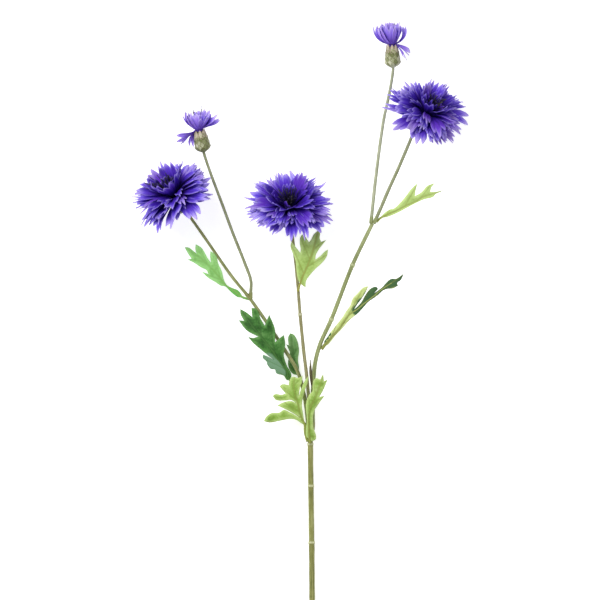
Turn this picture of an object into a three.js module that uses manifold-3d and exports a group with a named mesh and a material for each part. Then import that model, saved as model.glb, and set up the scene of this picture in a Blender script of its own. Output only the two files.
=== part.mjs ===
// A branched cornflower spray, cut and laid on a flat surface.
// Three double blooms and two half-open heads stand on thin stems that fork from one main stem,
// with lobed leaves at the joints. Millimetres, +Z up, +Y from the cut end towards the flowers.
import * as THREE from "three";
import { mergeVertices } from "three/addons/utils/BufferGeometryUtils.js";
import Module from "manifold-3d";

const wasm = await Module();
wasm.setup();

const seatGap = 0.3; // clearance between two pieces that meet
const bladeThickness = 0.6; // petals and leaves
const stemSides = 8; // the main stem and the branches
const thinStemSides = 6; // the stems above a fork
const surfaceBlock = { width: 700, depth: 20 }; // the surface, which flattens the lowest petal tips
const jointRing = { rise: 0.35, halfLength: 0.8, shoulder: 0.5 }; // where one sleeve of a stem ends
const ribRadii = [0.95, 0.45]; // a leaf's rib, from its stalk to near its tip
const forkSocket = { radius: 1.85, length: 5 }; // the short cup that holds a stem at a fork

const radians = THREE.MathUtils.degToRad;

// ---------- solids ----------

function solidOf(geometry) {
  const plain = geometry.clone();
  plain.deleteAttribute("normal");
  plain.deleteAttribute("uv");
  const merged = mergeVertices(plain, 1e-4);
  const triVerts = new Uint32Array(merged.index.array);
  const vertProperties = merged.attributes.position.array;
  return new wasm.Manifold(new wasm.Mesh({ numProp: 3, vertProperties, triVerts }));
}

function geometryOf(solid) {
  const mesh = solid.getMesh();
  const geometry = new THREE.BufferGeometry();
  geometry.setAttribute("position", new THREE.BufferAttribute(mesh.vertProperties, 3));
  geometry.setIndex(new THREE.BufferAttribute(mesh.triVerts, 1));
  return geometry;
}

// Joins solids into one body, and fills the closed hollows that blades leave where they cross.
function fuse(solids) {
  const bodies = wasm.Manifold.union(solids).decompose();
  return bodies.reduce((a, b) => (a.volume() > b.volume() ? a : b));
}

function geometryFrom(points, faces) {
  const geometry = new THREE.BufferGeometry().setFromPoints(points);
  geometry.setIndex(faces.flat());
  return geometry;
}

// A sheet of triangles made solid: the same triangles on both faces, and a wall along every open edge.
function sheetSolid(points, faces) {
  const normals = points.map(() => new THREE.Vector3());
  const edges = new Set();
  for (const [a, b, c] of faces) {
    const ab = points[b].clone().sub(points[a]);
    const ac = points[c].clone().sub(points[a]);
    const normal = ab.cross(ac);
    for (const corner of [a, b, c]) normals[corner].add(normal);
    for (const edge of [[a, b], [b, c], [c, a]]) edges.add(edge.join());
  }
  for (const normal of normals) normal.normalize();
  const shifted = (by) => points.map((point, i) => point.clone().addScaledVector(normals[i], by));
  const shell = [...shifted(bladeThickness / 2), ...shifted(-bladeThickness / 2)];
  const count = points.length;
  const under = faces.map(([a, b, c]) => [c + count, b + count, a + count]);
  const walls = [];
  for (const edge of edges) {
    const [a, b] = edge.split(",").map(Number);
    if (edges.has(`${b},${a}`)) continue;
    walls.push([b, a, a + count], [b, a + count, b + count]);
  }
  return solidOf(geometryFrom(shell, [...faces, ...under, ...walls]));
}

// A number from -1 to 1 that is always the same for the same seed.
function draw(seed) {
  const wave = Math.sin(seed * 12.9898) * 43758.5453;
  return 2 * (wave - Math.floor(wave)) - 1;
}

function smooth(path) {
  const points = path.map((point) => new THREE.Vector3(...point));
  return new THREE.CatmullRomCurve3(points, false, "centripetal");
}

// A round stalk along a path. Stations give its radius at shares of its length.
// One of its flat sides faces down.
function stalk(path, stations, sides = stemSides) {
  const curve = smooth(path);
  const spans = stations.length - 1;
  const geometry = new THREE.CylinderGeometry(1, 1, spans, sides, spans);
  const position = geometry.attributes.position;
  for (let i = 0; i < position.count; i++) {
    const [share, radius] = stations[Math.round(position.getY(i) + spans / 2)];
    const point = curve.getPointAt(share);
    const tangent = curve.getTangentAt(share);
    const across = new THREE.Vector3(tangent.y, -tangent.x, 0).normalize();
    const up = across.clone().cross(tangent);
    const reach = radius * Math.hypot(position.getX(i), position.getZ(i));
    const turn = Math.atan2(position.getX(i), position.getZ(i)) + Math.PI / sides;
    point.addScaledVector(up, reach * Math.cos(turn)).addScaledVector(across, reach * Math.sin(turn));
    position.setXYZ(i, point.x, point.y, point.z);
  }
  return solidOf(geometry);
}

// ---------- flower heads ----------

const bloom = {
  hub: { radius: 4.5, foot: -1.2, top: 5.6 },
  calyx: { height: 11, belly: 5.8, neck: 4, foot: 1.5, columns: 8, rows: 5, tipLength: 0 },
  florets: { count: 9, length: 14, spread: 0.26, buttonRadius: 2.1 },
  layers: [
    {
      count: 11, length: 30, lift: 16, tipLift: -22,
      height: 0.8, root: 2.4, halfWidth: 5.6, cup: 0.2, scatter: 0.05,
    },
    {
      count: 11, length: 30, lift: 30, tipLift: -6,
      height: 2, root: 2.4, halfWidth: 5.4, cup: 0.25, scatter: 0.06,
    },
    {
      count: 9, length: 27, lift: 42, tipLift: 6,
      height: 3.2, root: 2.5, halfWidth: 5.2, cup: 0.3, scatter: 0.08,
    },
    {
      count: 7, length: 23, lift: 60, tipLift: 64,
      height: 4.2, root: 3.4, halfWidth: 5.8, cup: 0.35, scatter: 0.08,
    },
    {
      count: 4, length: 17, lift: 74, tipLift: 84,
      height: 4.8, root: 3.5, halfWidth: 4.2, cup: 0.4, scatter: 0.08,
    },
  ],
};

const bud = {
  hub: { radius: 3, foot: -0.6, top: 4.2 },
  calyx: { height: 15, belly: 5.7, neck: 4.3, foot: 1.5, columns: 8, rows: 6, tipLength: 2.2 },
  florets: { count: 3, length: 13, spread: 0.3, buttonRadius: 1.2 },
};

// The petals of a half-open head, one by one: the turn round its axis, the lift at the root and
// at the tip, the length, half the width and the roll at the tip. Turn 0 is towards its left, and
// 90 is up from the surface.
const budPetals = {
  bud_left: [
    [20, 40, 100, 17, 4.8, -30], [58, 54, 96, 15, 5, -10], [96, 62, 88, 14, 5, 0],
    [132, 52, 68, 14.5, 4.8, 20], [164, 32, 46, 16, 4.8, 45], [190, 12, 32, 15.5, 3.6, 60],
    [228, 48, 70, 15, 4.6, 20], [275, 58, 90, 14, 4.6, 0], [-2, -10, 10, 18, 4.2, 50],
    [-18, -18, -80, 13.5, 1.8, 30],
  ],
  bud_right: [
    [0, 12, 112, 19.5, 2.6, -70], [26, 42, 98, 18, 5, -35], [62, 60, 96, 18, 5.2, -10],
    [98, 64, 92, 17.5, 5.2, 10], [134, 58, 94, 17.5, 5, 35], [176, 10, 116, 18.5, 2.8, 60],
    [190, -6, -34, 14.5, 3.8, 40], [166, -18, -60, 14, 1.4, 20], [225, 54, 92, 17, 4.8, 10],
    [290, 54, 96, 17.5, 5, 0],
  ],
};

// Each head: where its petals spring from, the way it faces counted from +X, and how far it looks up.
// Open is how many degrees the innermost petals of a bloom lean further out than in the list above.
// Reach is how long its petals are against the even length, at every 30 degrees of turn.
const heads = {
  bloom_left: {
    kind: bloom, heart: [-92.6, 129.8, 24.4], facing: 124, lift: 35, seed: 11, open: 0,
    reach: [1.12, 1.07, 1.05, 1.25, 1.24, 0.98, 0.93, 1.08, 1.06, 0.82, 1.1, 1.16],
  },
  bloom_mid: {
    kind: bloom, heart: [-8.4, 120.6, 25.4], facing: 95, lift: 44, seed: 311, open: 14,
    reach: [1.13, 1, 0.9, 0.76, 1.42, 1.06, 1.08, 1.03, 1.09, 1.03, 1, 1.05],
  },
  bloom_right: {
    kind: bloom, heart: [91.6, 190.6, 24.8], facing: 57, lift: 33, seed: 611, open: 4,
    reach: [1.04, 1.08, 1.1, 1.18, 1.22, 0.83, 0.87, 1.06, 1.18, 0.98, 0.98, 0.85],
  },
  bud_left: { kind: bud, heart: [-76, 180.4, 26], facing: 101, lift: 14, seed: 911 },
  bud_right: { kind: bud, heart: [68.1, 244.2, 23], facing: 93, lift: 10, seed: 1011 },
};

function facingOf({ facing, lift }) {
  const [turn, rise] = [radians(facing), radians(lift)];
  const flat = new THREE.Vector3(Math.cos(turn), Math.sin(turn), 0);
  return flat.multiplyScalar(Math.cos(rise)).setZ(Math.sin(rise));
}

// The frame of a head: z along its axis, x towards its left.
function frameOf(head) {
  const axis = facingOf(head);
  const left = new THREE.Vector3(-axis.y, axis.x, 0).normalize();
  return new THREE.Matrix4().makeBasis(left, axis.clone().cross(left), axis).setPosition(...head.heart);
}

// A point of a petal: u runs across it from -1 to 1, and t from 0 to 1 along its middle line,
// which bends evenly.
function petalPoint(petal, u, t, halfWidth) {
  const bend = petal.tipLift - petal.lift;
  const angle = petal.lift + bend * t;
  const roll = petal.roll * t;
  const hollow = petal.cup * halfWidth * (u * u - 0.35);
  const across = u * halfWidth * Math.cos(roll) - hollow * Math.sin(roll);
  const over = u * halfWidth * Math.sin(roll) + hollow * Math.cos(roll);
  const reach = (Math.sin(angle) - Math.sin(petal.lift)) / bend;
  const climb = (Math.cos(petal.lift) - Math.cos(angle)) / bend;
  const out = petal.root + petal.length * reach - over * Math.sin(angle);
  const rise = petal.height + petal.length * climb + over * Math.cos(angle);
  const [c, s] = [Math.cos(petal.turn), Math.sin(petal.turn)];
  return new THREE.Vector3(out * c - across * s, out * s + across * c, rise);
}

// The rows of a petal from its root to its three teeth: [u, t, share of half the width].
const petalOutline = [
  [-1, 0, 0.22], [1, 0, 0.22],
  [-1, 0.42, 0.54], [1, 0.42, 0.54],
  [-1, 0.73, 0.9], [0, 0.7, 0.9], [1, 0.73, 0.9],
  [-0.82, 0.95, 1], [-0.36, 0.85, 1], [0, 1, 1], [0.36, 0.85, 1], [0.82, 0.95, 1],
];
const petalFaces = [
  [0, 3, 2], [0, 1, 3], [2, 5, 4], [2, 3, 5], [3, 6, 5],
  [4, 5, 8], [4, 8, 7], [5, 9, 8], [5, 10, 9], [5, 6, 10], [6, 11, 10],
];

function petalSolid(petal) {
  const points = petalOutline.map(([u, t, share]) => petalPoint(petal, u, t, share * petal.halfWidth));
  return sheetSolid(points, petalFaces);
}

// The reach of a bloom at a share of a full turn, between the two places listed beside it.
function reachAt(reach, share) {
  const place = (share % 1) * reach.length;
  const before = Math.floor(place);
  const after = (before + 1) % reach.length;
  return reach[before] + (place - before) * (reach[after] - reach[before]);
}

// The petals of a bloom, layer by layer, each drawn a little off the even spacing.
function bloomPetals(layers, { open, reach, seed }) {
  return layers.flatMap((layer, row) =>
    Array.from({ length: layer.count }, (_, i) => {
      const lower = (open * row) / (layers.length - 1);
      const key = seed + row * 40 + i;
      const even = (i + 0.5 * (row % 2)) / layer.count;
      return {
        ...layer,
        turn: even * 2 * Math.PI + layer.scatter * draw(key),
        length: layer.length * reachAt(reach, even) * (1 + 0.1 * draw(key + 0.1)),
        lift: radians(layer.lift - lower + 6 * draw(key + 0.2)),
        tipLift: radians(layer.tipLift - 1.6 * lower + 15 * draw(key + 0.3)),
        roll: 0.6 * draw(key + 0.4),
      };
    }),
  );
}

function loosePetals(list) {
  return list.map(([turn, lift, tipLift, length, halfWidth, roll]) => ({
    turn: radians(turn),
    lift: radians(lift),
    tipLift: radians(tipLift),
    length,
    halfWidth,
    root: 2.2,
    height: lift < 0 ? 2.4 : 1.2,
    roll: radians(roll),
    cup: 0.35,
  }));
}

// The round body that the petals stand out of.
function hubSolid({ radius, foot, top }) {
  const shoulder = 0.8;
  const profile = [
    [0, foot], [radius - shoulder, foot], [radius, foot + shoulder],
    [radius, top - shoulder], [radius - shoulder, top], [0, top],
  ].map(([x, y]) => new THREE.Vector2(x, y));
  return solidOf(new THREE.LatheGeometry(profile, 10).rotateX(Math.PI / 2));
}

// The dark inner florets: thin rods that lean out from a small button, in a spiral.
function floretsSolid({ count, length, spread, buttonRadius }, base, seed) {
  const buttonHeight = 2.2;
  const spiralStep = 2.4;
  const rodRadii = [0.42, 0.55];
  const sunk = 0.6; // how far above the button's foot a rod starts
  const button = new THREE.CylinderGeometry(buttonRadius * 0.8, buttonRadius, buttonHeight, 8)
    .rotateX(Math.PI / 2)
    .translate(0, 0, base + buttonHeight / 2);
  const rods = Array.from({ length: count }, (_, i) => {
    const turn = i * spiralStep;
    const share = Math.sqrt((i + 0.5) / count);
    const foot = share * buttonRadius * 0.6;
    const reach = length * (1 + 0.16 * draw(seed + i));
    const rod = new THREE.CylinderGeometry(...rodRadii, reach, 3)
      .rotateX(Math.PI / 2)
      .translate(0, 0, reach / 2)
      .rotateY(share * spread)
      .rotateZ(turn)
      .translate(Math.cos(turn) * foot, Math.sin(turn) * foot, base + sunk);
    return solidOf(rod);
  });
  return fuse([solidOf(button), ...rods]);
}

// The scaly cup under a head: a lattice of pointed scales whose middles stand out, and free tips
// round the rim.
function calyxSolid({ height, belly, neck, foot, columns, rows, tipLength }) {
  const scaleRise = 0.75;
  const bellyShare = 0.3;
  const radiusAt = (share) => {
    if (share === 0) return foot;
    if (share < bellyShare) {
      return foot + 1 + (belly - foot - 1) * Math.sin((share / bellyShare) * (Math.PI / 2));
    }
    return belly + (neck - belly) * ((share - bellyShare) / (1 - bellyShare)) ** 1.6;
  };
  const points = [];
  const faces = [];
  const at = (row, column) => row * columns + ((column + columns) % columns);
  for (let row = 0; row <= rows; row++)
    for (let column = 0; column < columns; column++) {
      const turn = ((column + 0.5 * (row % 2)) / columns) * 2 * Math.PI;
      const radius = radiusAt(row / rows);
      const z = (row / rows - 1) * height;
      points.push(new THREE.Vector3(Math.cos(turn) * radius, Math.sin(turn) * radius, z));
    }
  for (let row = 0; row + 2 <= rows; row++)
    for (let column = 0; column < columns; column++) {
      const side = row % 2 ? column : column - 1;
      const [low, high] = [at(row, column), at(row + 2, column)];
      const [left, right] = [at(row + 1, side), at(row + 1, side + 1)];
      const middle = points[low].clone().lerp(points[high], 0.68);
      const outward = new THREE.Vector3(middle.x, middle.y, 0).normalize();
      const apex = points.push(middle.addScaledVector(outward, scaleRise)) - 1;
      faces.push([low, right, apex], [right, high, apex], [high, left, apex], [left, low, apex]);
    }
  const closeEnd = (edgeRow, innerRow, z, turned) => {
    const centre = points.push(new THREE.Vector3(0, 0, z)) - 1;
    for (let column = 0; column < columns; column++) {
      const between = edgeRow % 2 ? column + 1 : column;
      const gusset = [at(edgeRow, column), at(edgeRow, column + 1), at(innerRow, between)];
      const lid = [at(edgeRow, column + 1), at(edgeRow, column), centre];
      faces.push(turned ? gusset.reverse() : gusset, turned ? lid.reverse() : lid);
    }
  };
  closeEnd(0, 1, -height, false);
  closeEnd(rows, rows - 1, 0, true);
  const body = solidOf(geometryFrom(points, faces));
  if (!tipLength) return body;
  const tipHalfWidth = 1.4;
  const tips = Array.from({ length: columns }, (_, i) => {
    const corners = [
      [neck - 0.9, 0, -2.4], [neck + 0.8, 0, -2],
      [neck - 0.1, -tipHalfWidth, -1.4], [neck - 0.1, tipHalfWidth, -1.4], [neck + 0.5, 0, tipLength],
    ].map((corner) => new THREE.Vector3(...corner));
    const shell = [[0, 3, 1], [0, 1, 2], [1, 3, 4], [2, 1, 4], [0, 2, 4], [3, 0, 4]];
    return solidOf(geometryFrom(corners, shell).rotateZ(((i + 0.25) / columns) * 2 * Math.PI));
  });
  return fuse([body, ...tips]);
}

function headSolids(name, head) {
  const { hub, calyx, florets, layers } = head.kind;
  const petals = layers ? bloomPetals(layers, head) : loosePetals(budPetals[name]);
  const frame = frameOf(head).elements;
  return {
    petals: fuse([hubSolid(hub), ...petals.map(petalSolid)]).transform(frame),
    florets: floretsSolid(florets, hub.top + seatGap, head.seed).transform(frame),
    calyx: calyxSolid(calyx).translate(0, 0, hub.foot - seatGap).transform(frame),
  };
}

// The last stretch of a stem: it meets the calyx square on.
function intoHead(name) {
  const head = heads[name];
  const heart = new THREE.Vector3(...head.heart);
  const depth = head.kind.calyx.height - head.kind.hub.foot + 2 * seatGap;
  const approach = 2;
  const onAxis = (back) => heart.clone().addScaledVector(facingOf(head), -back).toArray();
  return [onAxis(depth + approach), onAxis(depth)];
}

// ---------- stems ----------

// Each stem is a path from its root to its tip. Joints are places along it in mm where its sleeve
// changes.
const stems = {
  stem_main: {
    path: [
      [9.4, -261.4, 2.05], [8.6, -200, 2.05], [8, -130, 3.2],
      [7.4, -85, 5], [7, -51, 6.6], [7, -38, 7.2],
    ],
    radii: [2.2, 2.05],
    joints: [132.8, 175.5, 207],
    steps: 8,
  },
  branch_left: {
    path: [
      [5.2, -37.4, 6.2], [2.4, -18, 6.6], [-2.6, 0, 7.6],
      [-12.4, 16.4, 9.4], [-27.4, 39.2, 11.6], [-38.2, 54.6, 12.6],
    ],
    radii: [1.5, 1.25],
    joints: [],
    steps: 7,
  },
  branch_mid: {
    path: [
      [7, -37.4, 9.4], [5.6, -18, 10.6], [4.3, -3.4, 10.6], [2.2, 14, 9.6],
      [-0.75, 43.6, 9.6], [-2.3, 63, 10.8], [-5, 90, 13.2],
    ],
    radii: [1.35, 1.1],
    joints: [81.5],
    steps: 8,
    head: "bloom_mid",
  },
  branch_right: {
    path: [
      [8.9, -37.4, 6.2], [10, -14, 6.4], [11.6, 6, 7.8], [15, 21, 8.8],
      [22.6, 38.6, 10], [39, 80.6, 12.4], [53.6, 111, 13.6],
    ],
    radii: [1.65, 1.45],
    joints: [80, 124],
    steps: 8,
  },
  stem_bloom_left: {
    path: [[-40.6, 57.6, 12.8], [-51.6, 70.9, 13.2], [-73.6, 102.4, 13.8]],
    radii: [1.2, 1.1],
    joints: [],
    steps: 7,
    head: "bloom_left",
  },
  stem_bud_left: {
    path: [
      [-37.7, 58.7, 13], [-37.6, 68, 13.8], [-42.4, 81.8, 15],
      [-51, 103.5, 17], [-59.7, 127.1, 19], [-67.7, 148.4, 20.6],
    ],
    radii: [1.2, 1.05],
    joints: [],
    steps: 12,
    head: "bud_left",
  },
  stem_bloom_right: {
    path: [
      [56.4, 114.8, 13.7], [59.8, 122.4, 13.8], [66, 136.9, 14],
      [73.4, 153.1, 14.2], [80, 168.6, 14.6],
    ],
    radii: [1.3, 1.2],
    joints: [],
    steps: 7,
    head: "bloom_right",
  },
  stem_bud_right: {
    path: [
      [52.9, 115.3, 13.8], [54, 126, 13.4], [56.2, 146, 11.6],
      [58.6, 164.9, 9.6], [62.3, 190, 10], [66.4, 209.1, 15],
    ],
    radii: [1.3, 1.1],
    joints: [],
    steps: 10,
    head: "bud_right",
  },
};
const mainMouth = { radius: 3.7, length: 15 }; // the main stem widens where its three branches leave it
const forks = {
  branch_left: ["stem_bloom_left", "stem_bud_left"],
  branch_right: ["stem_bloom_right", "stem_bud_right"],
};
// A short leafless shoot stands beside the right branch.
const spur = {
  path: [[9.8, -12, 6.8], [8, -3, 8.2], [7, 8.6, 9]],
  stations: [[0, 1], [0.5, 1.1], [1, 0.3]],
};

function stemSolid(name) {
  const { path, radii, joints, steps, head } = stems[name];
  const whole = head ? [...path, ...intoHead(head)] : path;
  const length = smooth(whole).getLength();
  const radiusAt = (share) => radii[0] + (radii[1] - radii[0]) * share;
  const { rise, halfLength, shoulder } = jointRing;
  const clear = (halfLength + shoulder) * 2;
  const plain = Array.from({ length: steps + 1 }, (_, i) => i / steps)
    .filter((share) => joints.every((joint) => Math.abs(share * length - joint) > clear))
    .map((share) => [share, radiusAt(share)]);
  const ringProfile = [
    [-halfLength - shoulder, 0], [-halfLength, rise], [halfLength, rise], [halfLength + shoulder, 0],
  ];
  const rings = joints.flatMap((joint) =>
    ringProfile.map(([step, more]) => {
      const share = (joint + step) / length;
      return [share, radiusAt(share) + more];
    }),
  );
  const stations = [...plain, ...rings].sort((a, b) => a[0] - b[0]);
  if (name === "stem_main") {
    const flare = 1 - mainMouth.length / length;
    const halfway = [(flare + 1) / 2, mainMouth.radius - 0.6];
    stations.splice(-1, 1, [flare, radii[1]], halfway, [1, mainMouth.radius]);
  }
  return stalk(whole, stations, name.startsWith("stem_b") ? thinStemSides : stemSides);
}

// One short socket for each stem that leaves a fork, set back from the stem's root.
function socketSolid(name) {
  const [root, next] = stems[name].path.map((point) => new THREE.Vector3(...point));
  const away = next.clone().sub(root).normalize();
  const along = (step) => root.clone().addScaledVector(away, step).toArray();
  const ends = [along(-seatGap - forkSocket.length), along(-seatGap)];
  return stalk(ends, [[0, forkSocket.radius], [1, forkSocket.radius]]);
}

// ---------- leaves ----------

// A leaf's rib runs from its root to its tip, and its stalk leads there from the stem. The outline
// of each half follows the cut edge from the root to the tip. The slopes lift the left and the
// right half from the rib.
const leaves = {
  leaf_fork_left: {
    rib: [
      [-44.4, 55.9, 10.4], [-49, 59.5, 11], [-53.2, 62.4, 11.6], [-56.2, 64.7, 12.2], [-60.8, 70.2, 13.2],
      [-66.2, 76.4, 14], [-71.5, 81.7, 14.4], [-77.3, 86.7, 14], [-82.6, 90.5, 13], [-87.4, 93.2, 11.4],
    ],
    stalk: [[-37.9, 54.1, 9.6], [-40.9, 54.7, 10]],
    left: [
      [-46.7, 55.5], [-50.5, 57.8], [-53.9, 60.9], [-56.8, 63.7], [-60.1, 64.4], [-63.9, 66.8],
      [-69.6, 70.2], [-74.6, 75], [-69.6, 73.1], [-70.8, 76], [-74.6, 77.9], [-79.2, 80.9], [-84.9, 84],
      [-82.1, 84.6], [-84.6, 88.2],
    ],
    right: [
      [-44.8, 57.8], [-47.4, 60.9], [-52, 62.8], [-55.5, 64.7], [-57.8, 68.7], [-59.3, 74.8], [-62, 80.9],
      [-63.9, 87.1], [-67.9, 90.5], [-68.1, 86.3], [-67.5, 81.7], [-69.6, 84.4], [-71.9, 88.6],
      [-74.6, 92.8], [-79, 95.5], [-79.2, 91.3], [-78.5, 88.6], [-81.3, 90.9], [-84.2, 93],
    ],
    slope: [0.12, 0.12],
  },
  leaf_dark_left: {
    rib: [
      [-8.6, -6.3, 11.6], [-10.9, 0.6, 13.6], [-17.7, 9.6, 16], [-22.2, 16.5, 17], [-29, 24.6, 17.6],
      [-34.5, 31.5, 17.4], [-40.4, 39.2, 16.4], [-45.6, 46.9, 14.6],
    ],
    stalk: [[-1.5, -10.8, 8.7]],
    left: [
      [-10.4, -6.5], [-13.1, -3.1], [-18.6, -1.3], [-19.7, 1.5], [-22.2, 1.7], [-25, 4.6], [-25.9, 7.4],
      [-28.8, 10.6], [-28.4, 12.6], [-24, 10.8], [-20, 8.6], [-24, 11.5], [-29, 15.6], [-35.9, 21.5],
      [-39.7, 26], [-35.9, 25.1], [-32, 26.2], [-40.4, 30.6], [-46.8, 38.3], [-42.7, 38.1], [-45.2, 42.8],
    ],
    right: [
      [-7.2, -3.1], [-10.9, 5.1], [-12.9, 11.9], [-11.8, 21], [-12.9, 27.4], [-16.8, 24.2], [-19.5, 21.9],
      [-19.7, 31.9], [-23.8, 42.6], [-25.9, 37.8], [-27.2, 34.4], [-30, 39.2], [-33.6, 46.9],
      [-37.2, 47.6], [-36.5, 40.6], [-40.9, 44.2],
    ],
    slope: [-0.06, -0.1],
  },
  leaf_dark_small: {
    rib: [[-1.8, -3.1, 3.2], [-5, 5.1, 3.6], [-6.3, 14.2, 3.8], [-7.2, 21, 3.6], [-8.1, 28.5, 2.8]],
    stalk: [[0.1, -9.7, 4.2]],
    left: [
      [-6.3, -1.7], [-9.5, 3.7], [-9.3, 10.1], [-8.4, 14.2], [-9.5, 16.9], [-11.1, 20.3], [-9.3, 19.6],
      [-9.6, 25.6],
    ],
    right: [[-1.5, 2.8], [-2.2, 8.3], [-1.5, 16.9], [-4, 25.6], [-5.9, 27.8]],
    slope: [0.02, 0.02],
  },
  leaf_mid: {
    rib: [
      [-0.7, 65.9, 14.2], [1.1, 71.1, 16.2], [3.3, 75.8, 17.6], [5.6, 81.2, 18.8], [7.9, 86.9, 19.4],
      [10.1, 94.8, 19.4], [13.1, 106.1, 17.6],
    ],
    stalk: [[-2.3, 60, 13.2]],
    left: [
      [-2.3, 69.3], [-3.4, 75.8], [-4.1, 83], [-6.1, 88.3], [-7.9, 94.1], [-7.1, 97.5], [-3.2, 92.3],
      [-0.5, 88.9], [-0.3, 91.9], [-1, 96.6], [-0.3, 101.3], [1.8, 103.1], [3.6, 100.5], [6, 97],
      [7.6, 99.1], [9.4, 102.7],
    ],
    right: [
      [3.3, 63], [4, 68.2], [7.2, 72.9], [10.8, 76.9], [15.8, 81.5], [19.4, 86.5], [20.3, 91.6],
      [17.6, 89.8], [14.8, 86.9], [10.8, 84], [11, 86.9], [13, 90.9], [16.5, 95.5], [18.9, 98.6],
      [15.1, 97.2], [14, 99.8], [14.3, 104.5],
    ],
    slope: [0.1, 0.06],
  },
  leaf_fork_right: {
    rib: [
      [59.6, 115.1, 12.6], [66, 118.3, 14], [72.7, 121.2, 15.4], [79.4, 124.6, 16.4], [86.2, 127.7, 16.8],
      [92, 131.1, 16.4], [98.4, 133.2, 15.4], [107.2, 136.2, 13.8],
    ],
    stalk: [[56.8, 112.3, 11]],
    left: [
      [61.7, 118.1], [66.8, 121.6], [69.7, 122.3], [74.4, 126.5], [78.6, 131.5], [82.8, 137],
      [87.4, 141.2], [86.2, 137], [85.3, 131.5], [90.4, 134.5], [94.6, 139.1], [100.5, 141.4],
      [97.9, 138.3], [96.8, 134.8], [101.7, 134.9],
    ],
    right: [
      [64.7, 116], [72.7, 119.2], [78.6, 122.3], [85.7, 126.1], [92, 129], [99.4, 131.2], [100.9, 133],
      [104.7, 134.8],
    ],
    slope: [0.14, 0.1],
  },
  leaf_twist_right: {
    rib: [
      [23.3, 26.4, 10.2], [28.9, 32.4, 12], [32.4, 37.7, 13.2], [36.4, 42.9, 14.4], [41.9, 46.4, 15.6],
      [47.9, 51.5, 16.6], [54, 56.2, 17], [61.5, 62.3, 16.8], [68, 66.5, 16], [77.1, 73.3, 14],
    ],
    stalk: [[17.4, 18.8, 8.2]],
    left: [
      [21.8, 27.9], [26.6, 34.1], [30.9, 40.4], [33.9, 45.2], [36.9, 49.5], [38.9, 55], [41.9, 58],
      [46.9, 63], [50.5, 64.1], [47.9, 58.5], [44.9, 54], [41.9, 50], [39.7, 46.2], [44.9, 51.5],
      [48.4, 57.5], [52, 62], [56.5, 63.5], [57.7, 62], [54.5, 58.3], [61.3, 63.5], [63.5, 66], [67, 69.1],
      [69.5, 69.6], [70.2, 69.3],
    ],
    right: [
      [25.8, 26.9], [29.9, 31.1], [32.9, 34.6], [36.9, 38.9], [42.9, 43.9], [46.9, 48.2], [50.5, 52.2],
      [57, 56.7], [62, 61], [65, 62], [69, 62.3], [72.8, 64.4], [72.1, 66.3], [74.8, 68.6],
    ],
    slope: [0.4, -0.25],
  },
  leaf_whorl_left: {
    rib: [
      [2.9, -40.2, 12], [0.9, -35.9, 13.4], [-0.8, -30.9, 15], [-2.3, -24.3, 16.2], [-4.4, -17.8, 17],
      [-5.6, -11.3, 17.2], [-4.9, -4.1, 16.4],
    ],
    stalk: [[3, -45.9, 8.6]],
    left: [
      [0.2, -38.9], [-3.4, -36.4], [-7.4, -35.6], [-15.4, -36.9], [-23.4, -38.4], [-28, -37.4],
      [-26, -33.9], [-22.4, -31.4], [-16.4, -30.9], [-12.9, -28.9], [-8.4, -30.6], [-0.7, -34.9],
      [-3.9, -32.6], [-11.4, -28.4], [-17.9, -25.6], [-13.4, -23.3], [-7.4, -22.3], [-3.5, -23.8],
      [-7.4, -21.4], [-11.9, -21.8], [-18.9, -21.3], [-21.2, -18.3], [-19.4, -17], [-14.4, -17.5],
      [-11.5, -16.5], [-15.9, -11.3], [-14.4, -9.8], [-9.1, -10.3], [-8.6, -6.7], [-6.9, -4.2],
    ],
    right: [
      [1.8, -33.4], [0.7, -24.3], [2.4, -15.8], [4.9, -8.3], [5.7, -3.2], [2.7, -7.3], [0.2, -13.3],
      [-1.7, -18.8], [-0.8, -12.3], [0.7, -7.3], [1.1, -3.3], [-2.1, -4.8],
    ],
    slope: [-0.14, 0.1],
  },
  leaf_whorl_right: {
    rib: [
      [6.4, -50.5, 10.6], [5.9, -42.4, 12.2], [5.9, -32.4, 14.6], [8.2, -24.3, 16], [10.7, -19.3, 17],
      [13.7, -11.3, 17.6], [16.7, -2.2, 16.4],
    ],
    stalk: [[6.8, -54, 10.2]],
    left: [
      [4.4, -49.4], [3.8, -42.4], [4.4, -36.4], [3.7, -28.4], [3.8, -23.8], [6.2, -17.5], [8.5, -14.8],
      [8.8, -8.8], [11.1, -5.2], [14.5, -6.1], [15.7, -3.5],
    ],
    right: [
      [8.2, -52.5], [11, -51], [9.2, -41.4], [9.7, -30.4], [13.2, -24.3], [17.7, -18.3], [13.7, -19.1],
      [16.7, -13.8], [20, -6], [17.2, -7.3],
    ],
    slope: [-0.1, -0.1],
  },
};

// One half of a blade: the flat outline between the rib and the cut edge, cut into triangles that
// face up.
function halfBlade(points, inner, outline) {
  const outer = outline.map((point) => points.push(point) - 1);
  const ring = [...inner, ...outer.reverse()];
  const flat = ring.map((corner) => new THREE.Vector2(points[corner].x, points[corner].y));
  const upward = (face) => {
    const [a, b, c] = face.map((corner) => flat[corner]);
    return (b.x - a.x) * (c.y - a.y) > (b.y - a.y) * (c.x - a.x) ? face : face.reverse();
  };
  const cut = THREE.ShapeUtils.triangulateShape(flat, []);
  return cut.map((face) => upward(face).map((corner) => ring[corner]));
}

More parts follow.
